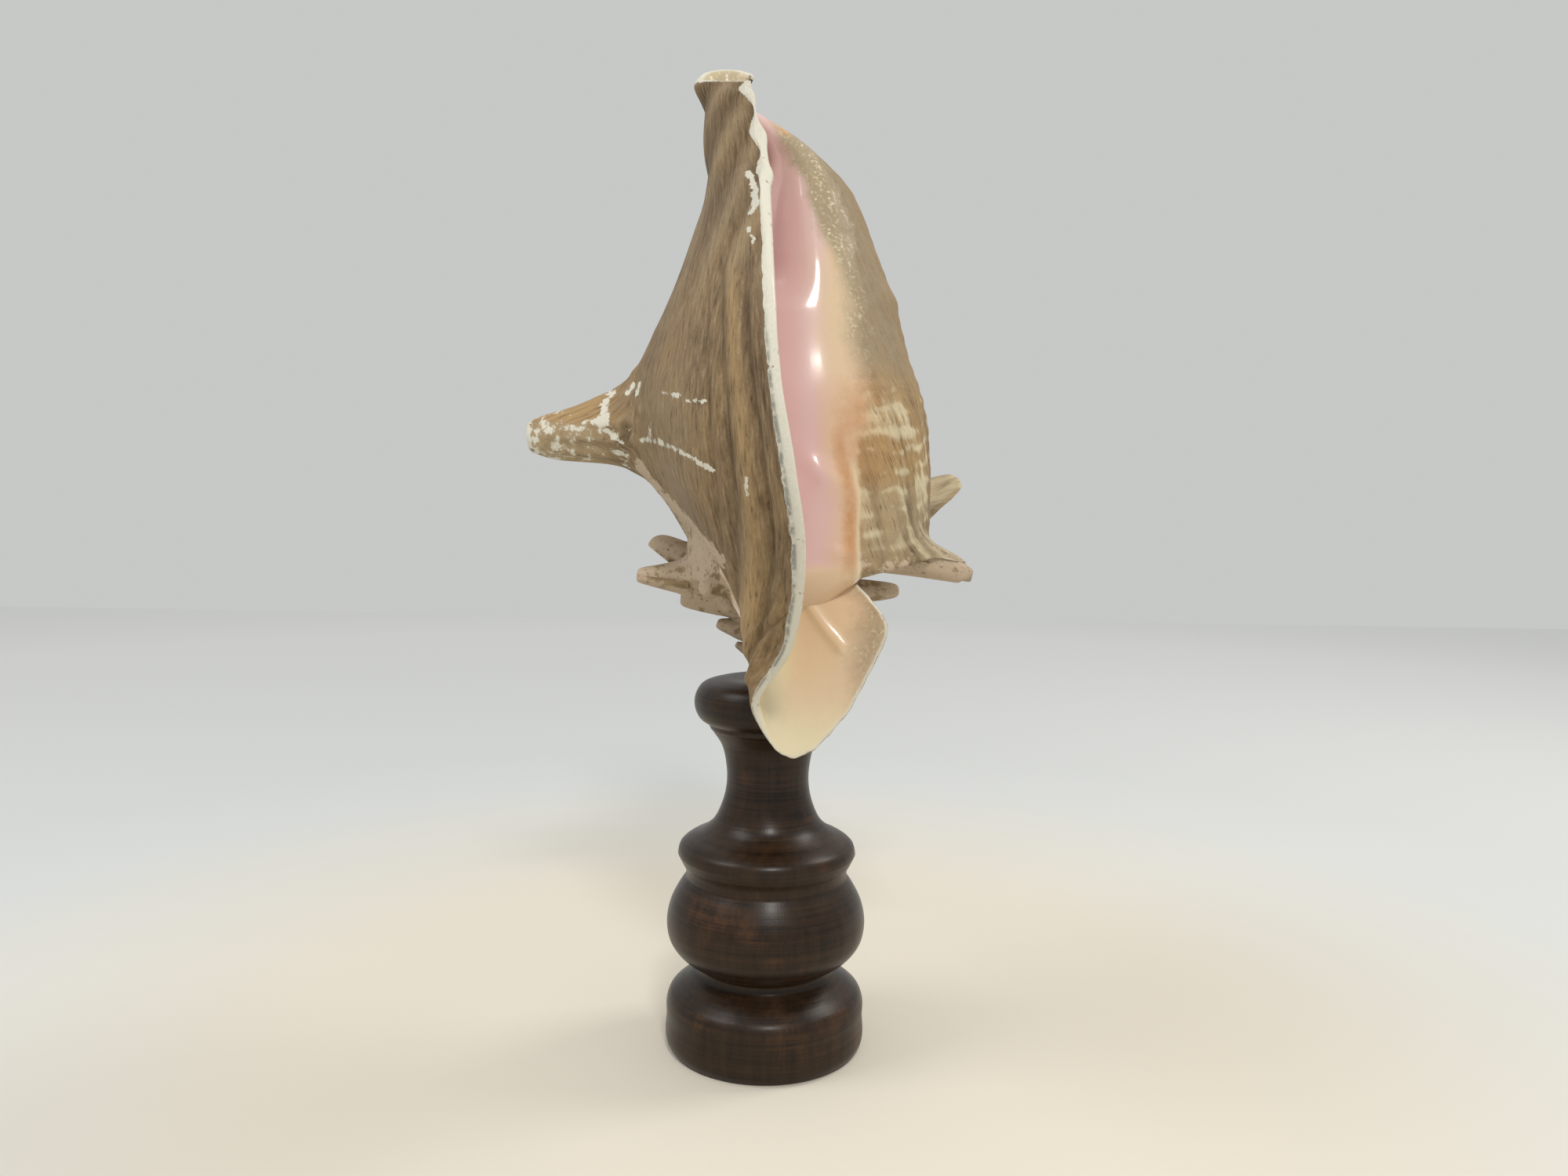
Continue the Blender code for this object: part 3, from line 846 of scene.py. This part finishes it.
    def scalloped(self, middle: Array) -> Array:
        """Middle surface with its free edge waved outward where the rim is wide, and a little
        ragged round the lower lobe.

        Args:
            middle: the middle surface.

        Returns:
            The moved surface.
        """
        from_edge, _, edge_place = self.from_border(middle)
        lobes = bell(edge_place, 34, 5) + bell(edge_place, 57, 5) + bell(edge_place, 12, 6)
        ragged = layered_noise(edge_place[..., None], 5, 61) * rise(edge_place, 256, 12)
        push = stacked(1.1 * lobes, -0.8 * lobes, 0 * lobes)
        outward = np.gradient(middle, axis=1)
        outward /= np.maximum(np.linalg.norm(outward, axis=-1, keepdims=True), 1e-9)
        near = np.exp(-from_edge / 4)[..., None]
        return middle + near * (push + 0.7 * ragged[..., None] * outward)

    def bent(self, from_edge: Array, edge_place: Array) -> Array:
        """Distance from the free edge, wandering a little, that the ridges and grooves follow."""
        place = stacked(from_edge, edge_place * 0.07)
        return from_edge + 1.6 * layered_noise(place, 9, 2, 2)

    def cord_wave(self, middle: Array) -> Array:
        """From 0 between the canal's cords to 1 on them: the size of a sine of the distance
        across the cords, which lean 18 degrees to the right and wander a little.

        Args:
            middle: the middle surface.

        Returns:
            A number from 0 to 1 for each place.
        """
        across = 0.952 * middle[..., 0] - 0.305 * middle[..., 2] + 1.5 * layered_noise(middle, 16, 9, 2)
        return np.abs(np.sin(math.pi * across / 9.5))

    def half_thicknesses(self) -> Array:
        """Half the wall's thickness, which rounds to nothing at every border like an ellipse, and
        is thinner round the lower lobe."""
        row, column = self.shares()
        inset = np.minimum(np.minimum(row, 1 - row) * 1.2, np.minimum(column, 1 - column))
        share = np.clip(inset / self.rounding, 0, 1)
        thin = 1 - 0.45 * rise(row, 0.64, 0.05) * rise(column, 0.6, 0.2)
        return self.half_thickness * thin * np.sqrt(share * (2 - share))

    def relief(self, middle: Array) -> Array:
        """Height of the outer skin over the smooth wall: growth ridges parallel to the free edge,
        slanting cords by the canal, and folds above the lower lobe.

        Args:
            middle: the middle surface.

        Returns:
            The height at each place.
        """
        from_edge, from_end, edge_place = self.from_border(middle)
        x, _, z = np.moveaxis(middle, -1, 0)
        _, column = self.shares()
        bent = self.bent(from_edge, edge_place)
        strip = rise(edge_place, 88, 30) * fall(edge_place, 262, 30)
        growth = 1.1 * bell(bent, 18, 4.5) + 0.5 * bell(bent, 7.5, 2.4)
        growth -= 0.9 * bell(bent, 11.6, 1.8) + 0.8 * bell(bent, 28, 2.4) + 0.5 * bell(bent, 36, 1.6)
        place = stacked((1 - column) * 130, edge_place * 0.05)
        wrinkles = 0.20 * layered_noise(place, 2.2, 3) + 0.25 * layered_noise(middle, 11, 7, 2)
        cords = 1.35 * (self.cord_wave(middle) ** 0.7 - 0.6) * window(z, 262, 341, 24)
        raised = 1.2 * growth * strip + wrinkles + cords + strokes(x, z, self.folds)
        width = read_table(self.rim, edge_place)
        curl = bell(from_edge, 0.6 * width, 0.4 * width) * fall(edge_place, 90, 20)
        return (raised * rise(from_edge, 0, 4.5) + curl) * rise(from_end, 0, 3)

    def skin_masks(self, points: Array, drawn: Array, middle: Array, lifts: Array) -> Masks:
        """Where each colour lies on the lip's outer skin, with painted shade in its growth grooves and on
        the lower rim's inner half.

        Args:
            points: the smooth outer skin's points.
            drawn: the same with the great spine drawn out.
            middle: the middle surface.
            lifts: each point's share of the great spine's reach.

        Returns:
            Each mask by its name.
        """
        from_edge, from_end, edge_place = self.from_border(middle)
        row, column = self.shares()
        x, y, z = np.moveaxis(drawn, -1, 0)
        width = read_table(self.rim, edge_place)
        ragged = (0.1 + 0.4 * rise(edge_place, 66, 20)) * layered_noise(points, 3, 4)
        rim = ease((width + ragged - from_edge) / 0.9 + 0.5)
        rim = np.maximum(rim, ease((1.5 + 1.2 * layered_noise(points, 4, 6) - from_end) / 0.8 + 0.5))
        # Painted shade with grey mottling: on the lower lip, the rim's inner half, away from the free edge,
        # turns grey.
        grey_mottle_and_shade = rim * rise(from_edge / width, 0.35, 0.3) * rise(edge_place, 118, 20)
        noise = layered_noise(points, 5, 21)
        bare = rise(row, 0.655, 0.03) * rise(column, 0.30, 0.12) * fall(z - 3 * noise, 198, 9)
        worn = np.maximum(0.95 * near_line(x, z, self.keel_streak, 2.2), 0.66 * bare)
        spine = ease(lifts * 2.2)
        above = rise(z + 1.5 * noise, 221.5, 3)
        seam = np.maximum(bell(z, 221 + 0.04 * (x + 60), 1.8), 0.8 * fall(x, -66, 5))
        in_front = fall(y, 12, 8)
        pale = np.maximum.reduce([
            1.3 * rim, 0.85 * rise(lifts, 0.90, 0.05), 0.62 * spine * seam, 0.42 * spine * (1 - above),
            *(strokes(x, z, group) * in_front for group in self.marks),
        ])
        bent = self.bent(from_edge, edge_place)
        strip = rise(edge_place, 88, 30)
        # Painted shade: the three growth grooves of the relief are darkened in the colour as well.
        grooves = 0.9 * bell(bent, 11.6, 1.4) + 0.7 * bell(bent, 28, 1.6) + 0.5 * bell(bent, 36, 1.2)
        shade = 0.62 * rise(z, 258, 44) + 0.30 * window(bent, 2, 14, 3) * strip
        paler = window(z, 196, 236, 24) * window(x, -50, -24, 12)
        tan = 0.75 * bell(bent, 19, 4.5) * strip + 0.40 * fall(z, 186, 22)
        tan = np.maximum(tan, 0.15 + 0.4 * layered_noise(points, 22, 23, 2))
        crests = self.cord_wave(middle) ** 3 * window(z, 258, 350, 26)
        return filled({
            Mask.TAN: tan + 1.2 * spine * above,
            Mask.DARK: np.maximum(grooves * strip, shade * (1 - crests)),
            Mask.FADED: np.maximum(0.9 * spine * (1 - above), 0.35 * crests + 0.30 * paler),
            Mask.WORN: worn, Mask.GREY_MOTTLE_AND_SHADE: grey_mottle_and_shade, Mask.PALE: pale,
        }, x)

    def lining_masks(self, points: Array, middle: Array) -> Masks:
        """Where each colour lies on the lip's glossy inner side.

        Args:
            points: the inner side's points.
            middle: the middle surface.

        Returns:
            Each mask by its name.
        """
        from_edge, from_end, _ = self.from_border(middle)
        x, _, z = np.moveaxis(points, -1, 0)
        blur = layered_noise(points, 9, 71)
        lobe = fall(z - 2 * blur, 181, 9)
        cream = np.maximum(fall(z - 6 * blur, 142, 26), fall(x - 3 * blur, 12, 12))
        olive = lobe * rise(x + 3 * blur, 19, 15)
        cream = lobe * (0.30 + 0.70 * cream) * (1 - 0.8 * olive)
        canal = rise(z, 316, 16)
        edge_cream = 0.8 * fall(from_edge - 2 * blur, 9, 8) * (1 - lobe) + 0.4 * canal
        rim = fall(np.minimum(from_edge, from_end), 1.2, 0.8)
        return filled({
            Mask.GLAZE: 1 - 0.3 * rim, Mask.PINK: 1 - lobe, Mask.PEACH: lobe,
            Mask.CREAM: np.maximum(cream, edge_cream), Mask.OLIVE: np.maximum(0.70 * olive, canal),
            Mask.PALE: 0.8 * rim,
        }, x)

    def build(self) -> bpy.types.Object:
        """Make the mesh of the lip."""
        smooth = self.middle()
        middle = self.scalloped(smooth)
        normal = unit_normals(middle)
        half = self.half_thicknesses()[..., None]
        skin = middle + half * normal
        raised = skin + self.relief(smooth)[..., None] * normal * (half > 0)
        outer, lifts = draw_spines(raised, self.whorls, (GREAT_SPINE,))
        x, _, z = np.moveaxis(middle, -1, 0)
        swell = 1.3 * near_line(x, z, ((12, 165), (18, 157), (24, 150)), 2.2)
        swell += 0.30 * layered_noise(middle, 12, 75, 2)
        inner = middle - half * normal - swell[..., None] * normal * (half > 0.45 * half.max())
        uv = stacked(self.shares()[1] * 130, walked(smooth, 0))
        outer_masks = self.skin_masks(skin, outer, smooth, lifts)
        inner_masks = self.lining_masks(inner, smooth)
        return two_sided(outer, inner, outer_masks, inner_masks, uv).to_object("shell_lip")


@dataclass
class TurnedStand(Piece):
    """Stand turned in one piece, in mm.

    Attributes:
        segments: points round it.
        run_steps: points along each run.
        socket_floor: radius and height of the socket's floor.
        runs: radius and height along runs of its outline, top to bottom, that meet in creases.
    """

    node: ClassVar[str] = "stand"
    segments: int = 256
    run_steps: int = 36
    socket_floor: Pair = (3.4, 129.1)
    runs: tuple[Path, ...] = (
        ((4.6, 133), (19, 133.6), (24.2, 131.6), (26.4, 127.6), (26.4, 123.4), (24.4, 119.6), (21.4, 117.8)),
        ((21.4, 117.8), (21, 116.4), (20.2, 115.4)),
        ((20.2, 115.4), (16.9, 110.5), (15, 103), (14.7, 97), (16.4, 88.5), (19.8, 81.8), (24.6, 78),
         (28.6, 76), (31.4, 73.6), (32, 70.9)),
        ((32, 70.9), (30.6, 68), (29.2, 65.2), (28.9, 62.6)),
        ((28.9, 62.6), (31.6, 58.6), (34.6, 52.6), (35.8, 45.6), (34.6, 39.4), (31, 34.6), (26.4, 31.4),
         (24, 30)),
        ((24, 30), (24.4, 27.9), (27.2, 25.6), (31.6, 22.6), (34.6, 19.8), (35.6, 17), (35.6, 12),
         (35, 1.4), (34, 0)),
    )

    def outline(self) -> Array:
        """Radius and height from the foot up to the socket's floor."""
        stretches = []
        for run in self.runs:
            curve = np.array(run)
            places = np.concatenate([[0], np.cumsum(np.linalg.norm(np.diff(curve, axis=0), axis=1))])
            stretches.append(smooth_through(places, curve, np.linspace(0, places[-1], self.run_steps)))
        curve = np.concatenate([[(0, self.socket_floor[1]), self.socket_floor], *stretches, [(0, 0)]])
        moved = np.linalg.norm(np.diff(curve, axis=0), axis=1) > 0.01
        curve = curve[np.concatenate([[True], moved])]
        return curve[::-1][1:-1]

    def build(self) -> bpy.types.Object:
        """Carry the outline round the axis."""
        outline = self.outline()
        angle = np.linspace(0, 2 * math.pi, self.segments, endpoint=False)
        radius, height = outline[:, :1], outline[:, 1:]
        points = stacked(radius * np.cos(angle), radius * np.sin(angle), height + 0 * angle)
        return capped_ring(points, {}, stacked(radius * angle, walked(points, 0))).to_object("stand_turned")


class Nodes:
    """Short forms for making a material's nodes."""

    def __init__(self, name: str) -> None:
        """Start a material with one Principled shader."""
        self.material = bpy.data.materials.new(name)
        self.material.use_nodes = True
        self.tree = self.material.node_tree
        self.shader = self.tree.nodes["Principled BSDF"]

    def add(
        self, kind: str, inputs: dict[str | int, object] | None = None, **settings: object
    ) -> bpy.types.Node:
        """Add a node.

        Args:
            kind: the node's type name.
            inputs: value or output socket for each of its inputs.
            **settings: its own settings.

        Returns:
            The node.
        """
        node = self.tree.nodes.new(kind)
        for key, value in settings.items():
            setattr(node, key, value)
        for key, value in (inputs or {}).items():
            self.put(node.inputs[key], value)
        return node

    def put(self, socket: Socket, value: object) -> None:
        """Link an output to a socket, or set the socket's own value.

        Args:
            socket: an input.
            value: an output socket, a number, a vector or a colour.
        """
        if isinstance(value, Socket):
            self.tree.links.new(value, socket)
        elif isinstance(value, tuple) and socket.type == "RGBA":
            socket.default_value = (*value, 1)
        else:
            socket.default_value = value

    def finish(self, inputs: dict[str, object]) -> bpy.types.Material:
        """Give the shader its inputs, and return the material."""
        for key, value in inputs.items():
            self.put(self.shader.inputs[key], value)
        return self.material

    def mask(self, mask: Mask) -> Socket:
        """Number that the mesh carries for a mask."""
        return self.add("ShaderNodeAttribute", attribute_name=mask.value).outputs["Fac"]

    def veiled(self, mask: Mask, noise: Socket, low: float, high: float, start: float, end: float) -> Socket:
        """A mask times the noise, mapped from low..high onto start..end."""
        return self.times(self.mask(mask), self.ramp(noise, low, high, start, end))

    def broken(self, mask: Mask, coarse: Socket, fine: Socket, level: float) -> Socket:
        """Ragged patches: where mask + 1.9 * coarse noise + 0.7 * fine noise passes a level.

        Args:
            mask: how likely a patch is.
            coarse: noise from 0 to 1.
            fine: finer noise from 0 to 1.
            level: mask at which half the surface is in a patch.

        Returns:
            0 outside the patches and 1 in them.
        """
        noise = self.plus(self.times(coarse, 1.9), self.times(fine, 0.7))
        return self.ramp(self.plus(self.mask(mask), noise), level + 1.25, level + 1.40)

    def speckled(self, mask: Mask, coarse: Socket, fine: Socket) -> Socket:
        """A mask whose middle values break into speckles, and whose ends stay plain."""
        noise = self.plus(self.times(coarse, 1.1), self.times(fine, 0.6))
        return self.ramp(self.plus(self.times(self.mask(mask), 2), noise), 1.20, 2.50)

    def times(self, first: Socket, second: Socket | float) -> Socket:
        """Product of two numbers."""
        return self.add("ShaderNodeMath", {0: first, 1: second}, operation="MULTIPLY").outputs[0]

    def plus(self, first: Socket, second: Socket | float) -> Socket:
        """Sum of two numbers."""
        return self.add("ShaderNodeMath", {0: first, 1: second}, operation="ADD").outputs[0]

    def layered(self, colour: Socket | Colour, *layers: tuple[Socket, Socket | Colour]) -> Socket:
        """Lay colours over one another.

        Args:
            colour: the lowest colour.
            *layers: how much each layer covers, from 0 to 1, and its colour.

        Returns:
            The colour on top.
        """
        for factor, tint in layers:
            inputs = {"Factor": factor, 6: colour, 7: tint}
            colour = self.add("ShaderNodeMix", inputs, data_type="RGBA").outputs[2]
        return colour

    def ramp(self, value: Socket, low: float, high: float, start: float = 0, end: float = 1) -> Socket:
        """Map low..high onto start..end, held at both."""
        inputs = {0: value, 1: low, 2: high, 3: start, 4: end}
        return self.add("ShaderNodeMapRange", inputs, clamp=True).outputs[0]

    def noise(self, vector: Socket, scale: float | Point, detail: float = 4, rough: float = 0.6) -> Socket:
        """Noise over a vector, from 0 to 1.

        Args:
            vector: place to read the noise at.
            scale: one scale, or one for each axis.
            detail: number of finer layers.
            rough: how strong the finer layers are.

        Returns:
            The noise.
        """
        if isinstance(scale, tuple):
            vector = self.add("ShaderNodeMapping", {"Vector": vector, "Scale": scale}).outputs[0]
            scale = 1
        inputs = {"Vector": vector, "Scale": scale, "Detail": detail, "Roughness": rough}
        return self.add("ShaderNodeTexNoise", inputs).outputs["Fac"]

    def place(self) -> Socket:
        """Place in the object's own coordinates."""
        return self.add("ShaderNodeTexCoord").outputs["Object"]

    def bump(self, height: Socket, strength: Socket | float, distance: float) -> Socket:
        """Normal tilted by a height."""
        inputs = {"Height": height, "Strength": strength, "Distance": distance}
        return self.add("ShaderNodeBump", inputs).outputs[0]


@dataclass(frozen=True)
class ShellFinish:
    """Colours and roughness of the shell, inside and out."""

    brown_dark: Colour = (0.060, 0.034, 0.016)
    brown_mid: Colour = (0.198, 0.130, 0.067)
    brown_light: Colour = (0.370, 0.270, 0.160)
    tan: Colour = (0.460, 0.300, 0.135)
    faded: Colour = (0.430, 0.325, 0.190)
    band: Colour = (0.680, 0.580, 0.380)
    worn: Colour = (0.520, 0.405, 0.285)
    # Grey of the mottling and painted shade on the lower rim's inner half.
    grey_mottle_and_shade: Colour = (0.250, 0.235, 0.195)
    white: Colour = (0.690, 0.655, 0.545)
    speck: Colour = (0.160, 0.110, 0.080)
    pink: Colour = (0.700, 0.470, 0.440)
    peach: Colour = (0.700, 0.480, 0.310)
    cream: Colour = (0.760, 0.660, 0.430)
    olive: Colour = (0.330, 0.255, 0.160)
    amber: Colour = (0.550, 0.290, 0.125)
    skin_roughness: float = 0.58
    skin_specular: float = 0.22
    glaze_roughness: float = 0.09
    glow: float = 0.10
    glow_radius: Point = (1.0, 0.5, 0.35)
    glow_scale: float = 0.002
    bump_height: float = 0.0007

    def skin(self, nodes: Nodes, lines: Socket, fine: Socket, grain: Socket, blotch: Socket) -> Socket:
        """Colour of the fibrous outside.

        Args:
            nodes: the material's nodes.
            lines: noise drawn out along the growth lines.
            fine: the same, finer.
            grain: fine noise.
            blotch: coarse noise.

        Returns:
            The colour.
        """
        banding = nodes.plus(nodes.times(lines, 1.3), nodes.times(nodes.mask(Mask.BAND), 0.8))
        # Darkening of real dark mottles, and painted shade in the lip's growth grooves.
        dark = nodes.times(nodes.veiled(Mask.DARK, lines, 0.60, 0.40, 0.25, 1), 0.85)
        worn = nodes.broken(Mask.WORN, blotch, grain, 0.50)
        specks = nodes.times(nodes.times(nodes.ramp(grain, 0.60, 0.68), worn), 0.6)
        return nodes.layered(
            self.brown_dark,
            (nodes.ramp(lines, 0.26, 0.48), self.brown_mid),
            (nodes.ramp(fine, 0.48, 0.70, 0, 0.9), self.brown_light),
            (nodes.veiled(Mask.TAN, fine, 0.25, 0.60, 0.35, 0.95), self.tan),
            (nodes.veiled(Mask.FADED, blotch, 0.25, 0.55, 0.45, 1), self.faded),
            (nodes.ramp(banding, 0.85, 1.30, 0, 0.90), self.band),
            (dark, self.brown_dark),
            (nodes.times(nodes.ramp(fine, 0.42, 0.32), 0.75), self.brown_dark),
            (nodes.veiled(Mask.OLIVE, blotch, 0.35, 0.60, 0.55, 0.92), self.olive),
            (nodes.times(nodes.mask(Mask.AMBER), 0.8), self.amber),
            (worn, self.worn),
            (specks, self.speck),
            (nodes.broken(Mask.PALE, blotch, grain, 0.58), self.white),
            # Grey mottling and painted shade over the inner half of the lower rim.
            (nodes.veiled(Mask.GREY_MOTTLE_AND_SHADE, blotch, 0.40, 0.54, 0.10, 0.90), self.grey_mottle_and_shade),
        )

    def lining(self, nodes: Nodes, grain: Socket, blotch: Socket) -> Socket:
        """Colour of the glossy inside and callus.

        Args:
            nodes: the material's nodes.
            grain: fine noise.
            blotch: coarse noise.

        Returns:
            The colour.
        """
        dots = nodes.times(nodes.ramp(grain, 0.52, 0.62), nodes.ramp(blotch, 0.35, 0.60))
        edging = nodes.plus(nodes.mask(Mask.OLIVE), nodes.times(nodes.mask(Mask.CREAM), 0.5))
        return nodes.layered(
            self.brown_light,
            (nodes.mask(Mask.PEACH), self.peach),
            (nodes.speckled(Mask.PINK, blotch, grain), self.pink),
            (nodes.speckled(Mask.OLIVE, blotch, grain), self.olive),
            (nodes.speckled(Mask.AMBER, blotch, grain), self.amber),
            (nodes.mask(Mask.CREAM), self.cream),
            (nodes.times(nodes.times(dots, edging), 0.75), self.cream),
            (nodes.mask(Mask.PALE), self.white),
        )

    def material(self) -> bpy.types.Material:
        """Fibrous brown skin under worn, glazed and tinted areas that the mesh's masks place."""
        nodes = Nodes("shell")
        growth = nodes.add("ShaderNodeUVMap", uv_map="growth").outputs[0]
        place = nodes.place()
        lines = nodes.noise(growth, (400, 34, 1), 4, 0.65)
        fine = nodes.noise(growth, (1150, 140, 1), 4, 0.7)
        grain = nodes.noise(place, 850, 3)
        blotch = nodes.noise(place, 260)
        glaze = nodes.speckled(Mask.GLAZE, blotch, grain)
        skin = self.skin(nodes, lines, fine, grain, blotch)
        gloss = nodes.times(glaze, nodes.ramp(nodes.mask(Mask.OLIVE), 0.2, 0.9, 1, 0.15))
        matt = nodes.ramp(fine, 0.3, 0.7, self.skin_roughness - 0.08, self.skin_roughness + 0.12)
        rough = {"Factor": glaze, 2: matt, 3: nodes.ramp(gloss, 0.2, 1, 0.42, 0.24)}
        fibre = nodes.plus(nodes.times(lines, 0.6), nodes.times(fine, 0.8))
        height = nodes.plus(fibre, nodes.times(grain, 0.4))
        return nodes.finish({
            "Base Color": nodes.layered(skin, (glaze, self.lining(nodes, grain, blotch))),
            "Roughness": nodes.add("ShaderNodeMix", rough, data_type="FLOAT").outputs[0],
            "Specular IOR Level": self.skin_specular,
            "Coat Weight": gloss,
            "Coat Roughness": self.glaze_roughness,
            "Subsurface Weight": self.glow,
            "Subsurface Radius": self.glow_radius,
            "Subsurface Scale": self.glow_scale,
            "Normal": nodes.bump(height, nodes.ramp(glaze, 0, 0.8, 0.90, 0.03), self.bump_height),
        })


@dataclass(frozen=True)
class WoodFinish:
    """Dark stained hardwood with rubbed, redder patches."""

    stain: Colour = (0.011, 0.005, 0.002)
    wood: Colour = (0.036, 0.018, 0.007)
    rubbed: Colour = (0.092, 0.037, 0.014)

    def material(self) -> bpy.types.Material:
        """Long grain crossed by turning lines, under a satin coat."""
        nodes = Nodes("stand")
        place = nodes.place()
        grain = nodes.noise(place, (260, 260, 22), 6, 0.65)
        pores = nodes.noise(place, (1400, 1400, 90), 3)
        rings = nodes.noise(place, (18, 18, 900), 3)
        patches = nodes.noise(place, 34, 4, 0.55)
        streaks = nodes.plus(nodes.times(grain, 0.5), nodes.times(rings, 0.5))
        colour = nodes.layered(
            self.stain,
            (nodes.ramp(streaks, 0.38, 0.64), self.wood),
            (nodes.times(nodes.ramp(patches, 0.55, 0.72), nodes.ramp(streaks, 0.40, 0.60)), self.rubbed),
            (nodes.ramp(pores, 0.30, 0.42, 0.6, 0), self.stain),
        )
        height = nodes.plus(nodes.times(rings, 0.7), nodes.times(pores, 0.4))
        return nodes.finish({
            "Base Color": colour,
            "Roughness": nodes.ramp(patches, 0.3, 0.7, 0.30, 0.42),
            "Specular IOR Level": 0.24,
            "Coat Weight": 0.08,
            "Coat Roughness": 0.22,
            "Normal": nodes.bump(height, 0.25, 0.0004),
        })


def axes_matrix(side: Array, up: Array, back: Array, place: Point) -> Matrix:
    """Matrix of an object whose X, Y and Z axes and place are given."""
    matrix = np.eye(4)
    matrix[:3] = stacked(side, up, back, np.array(place))
    return Matrix(matrix.tolist())


@dataclass(frozen=True)
class SoftBox:
    """A square studio light, in metres and watts."""

    place: Point
    size: float
    power: float
    colour: Colour
    target: ClassVar[Point] = (0, 0, 0.2)

    def build(self, name: str) -> None:
        """Hang the light and turn it towards the middle of the shell.

        Args:
            name: name of the light.
        """
        data = bpy.data.lights.new(name, "AREA")
        data.size = self.size
        data.energy = self.power
        data.color = self.colour
        back = np.subtract(self.place, self.target)
        back /= np.linalg.norm(back)
        side = np.cross((0, 0, 1), back)
        side /= np.linalg.norm(side)
        placed(name, data).matrix_world = axes_matrix(side, np.cross(back, side), back, self.place)


@dataclass(frozen=True)
class PhotoCamera:
    """The photograph's camera, found from the stand's turned edges: metres, pixels, mm of sensor
    and degrees."""

    place: Point = (0, -0.4175, 0.199)
    focal_pixels: float = 1500
    width_pixels: float = 2000
    sensor: float = 36
    pitch_down: float = 4.467
    roll: float = 0.887
    yaw: float = -0.658

    def build(self) -> None:
        """Make the camera and use it."""
        pitch, roll, yaw = np.radians((self.pitch_down, self.roll, self.yaw))
        right = np.array([math.cos(yaw), math.sin(yaw), 0.0])
        level = np.array([-math.sin(yaw), math.cos(yaw), 0.0])
        upright = np.array([0.0, 0.0, 1.0])
        back = math.sin(pitch) * upright - math.cos(pitch) * level
        up = math.sin(pitch) * level + math.cos(pitch) * upright
        side = math.cos(roll) * right + math.sin(roll) * up
        up = math.cos(roll) * up - math.sin(roll) * right
        data = bpy.data.cameras.new("photo")
        data.sensor_width = self.sensor
        data.lens = self.focal_pixels / self.width_pixels * self.sensor
        data.clip_start = 0.01
        camera = placed("photo", data)
        camera.matrix_world = axes_matrix(side, up, back, self.place)
        bpy.context.scene.camera = camera


@dataclass
class Studio:
    """Pale floor, soft light and the camera, in metres.

    Attributes:
        floor_size: side of the floor.
        floor_colour: colour of the floor under the stand.
        far_colour: colour of the floor beyond near_reach.
        horizon_colour: colour of the floor beyond far_reach.
        near_reach: distances between which the first colour gives way to the second.
        far_reach: distances between which the second gives way to the third.
        floor_roughness: roughness of the floor.
        air_colour: colour of the air all round.
        air_strength: its brightness.
        lights: the lights.
    """

    floor_size: float = 3
    floor_colour: Colour = (0.76, 0.70, 0.59)
    far_colour: Colour = (0.70, 0.71, 0.70)
    horizon_colour: Colour = (0.88, 0.88, 0.87)
    near_reach: Pair = (0.17, 0.40)
    far_reach: Pair = (0.5, 1.3)
    floor_roughness: float = 0.9
    air_colour: Colour = (0.60, 0.61, 0.60)
    air_strength: float = 0.95
    lights: tuple[SoftBox, ...] = (
        SoftBox((0.12, -0.80, 0.95), 0.17, 4.8, (1, 0.98, 0.95)),
        SoftBox((0.75, 0.25, 0.95), 0.35, 3.6, (1, 0.96, 0.90)),
        SoftBox((-0.70, -0.20, 1), 0.45, 3, (0.97, 0.98, 1)),
    )

    def floor(self) -> None:
        """Make the floor, a square whose colour changes with the distance from the stand."""
        half = self.floor_size / 2
        corners = [(-half, -half, 0), (half, -half, 0), (half, half, 0), (-half, half, 0)]
        mesh = bpy.data.meshes.new("floor")
        mesh.from_pydata(corners, [], [(0, 1, 2, 3)])
        nodes = Nodes("floor")
        distance = nodes.add("ShaderNodeVectorMath", {0: nodes.place()}, operation="LENGTH").outputs["Value"]
        near, far = (nodes.ramp(distance, *reach) for reach in (self.near_reach, self.far_reach))
        colour = nodes.layered(self.floor_colour, (near, self.far_colour), (far, self.horizon_colour))
        mesh.materials.append(nodes.finish({"Base Color": colour, "Roughness": self.floor_roughness}))
        placed("floor", mesh)

    def air(self) -> None:
        """Make the pale air all round."""
        world = bpy.data.worlds.new("air")
        world.use_nodes = True
        back = world.node_tree.nodes["Background"]
        back.inputs[0].default_value = (*self.air_colour, 1)
        back.inputs[1].default_value = self.air_strength
        bpy.context.scene.world = world

    def build(self) -> None:
        """Make the floor, the air, the lights and the camera."""
        self.floor()
        self.air()
        for number, light in enumerate(self.lights):
            light.build(f"soft_box_{number}")
        PhotoCamera().build()
        bpy.context.scene.view_settings.view_transform = "Standard"


def main() -> None:
    """Build every piece in order, and then the studio."""
    logging.basicConfig(level=logging.INFO)
    whorls = Whorls()
    shell_material = ShellFinish().material()
    ShellBody(whorls).dress(shell_material)
    FlaredLip(whorls).dress(shell_material)
    TurnedStand().dress(WoodFinish().material())
    Studio().build()


if __name__ == "__main__":
    main()
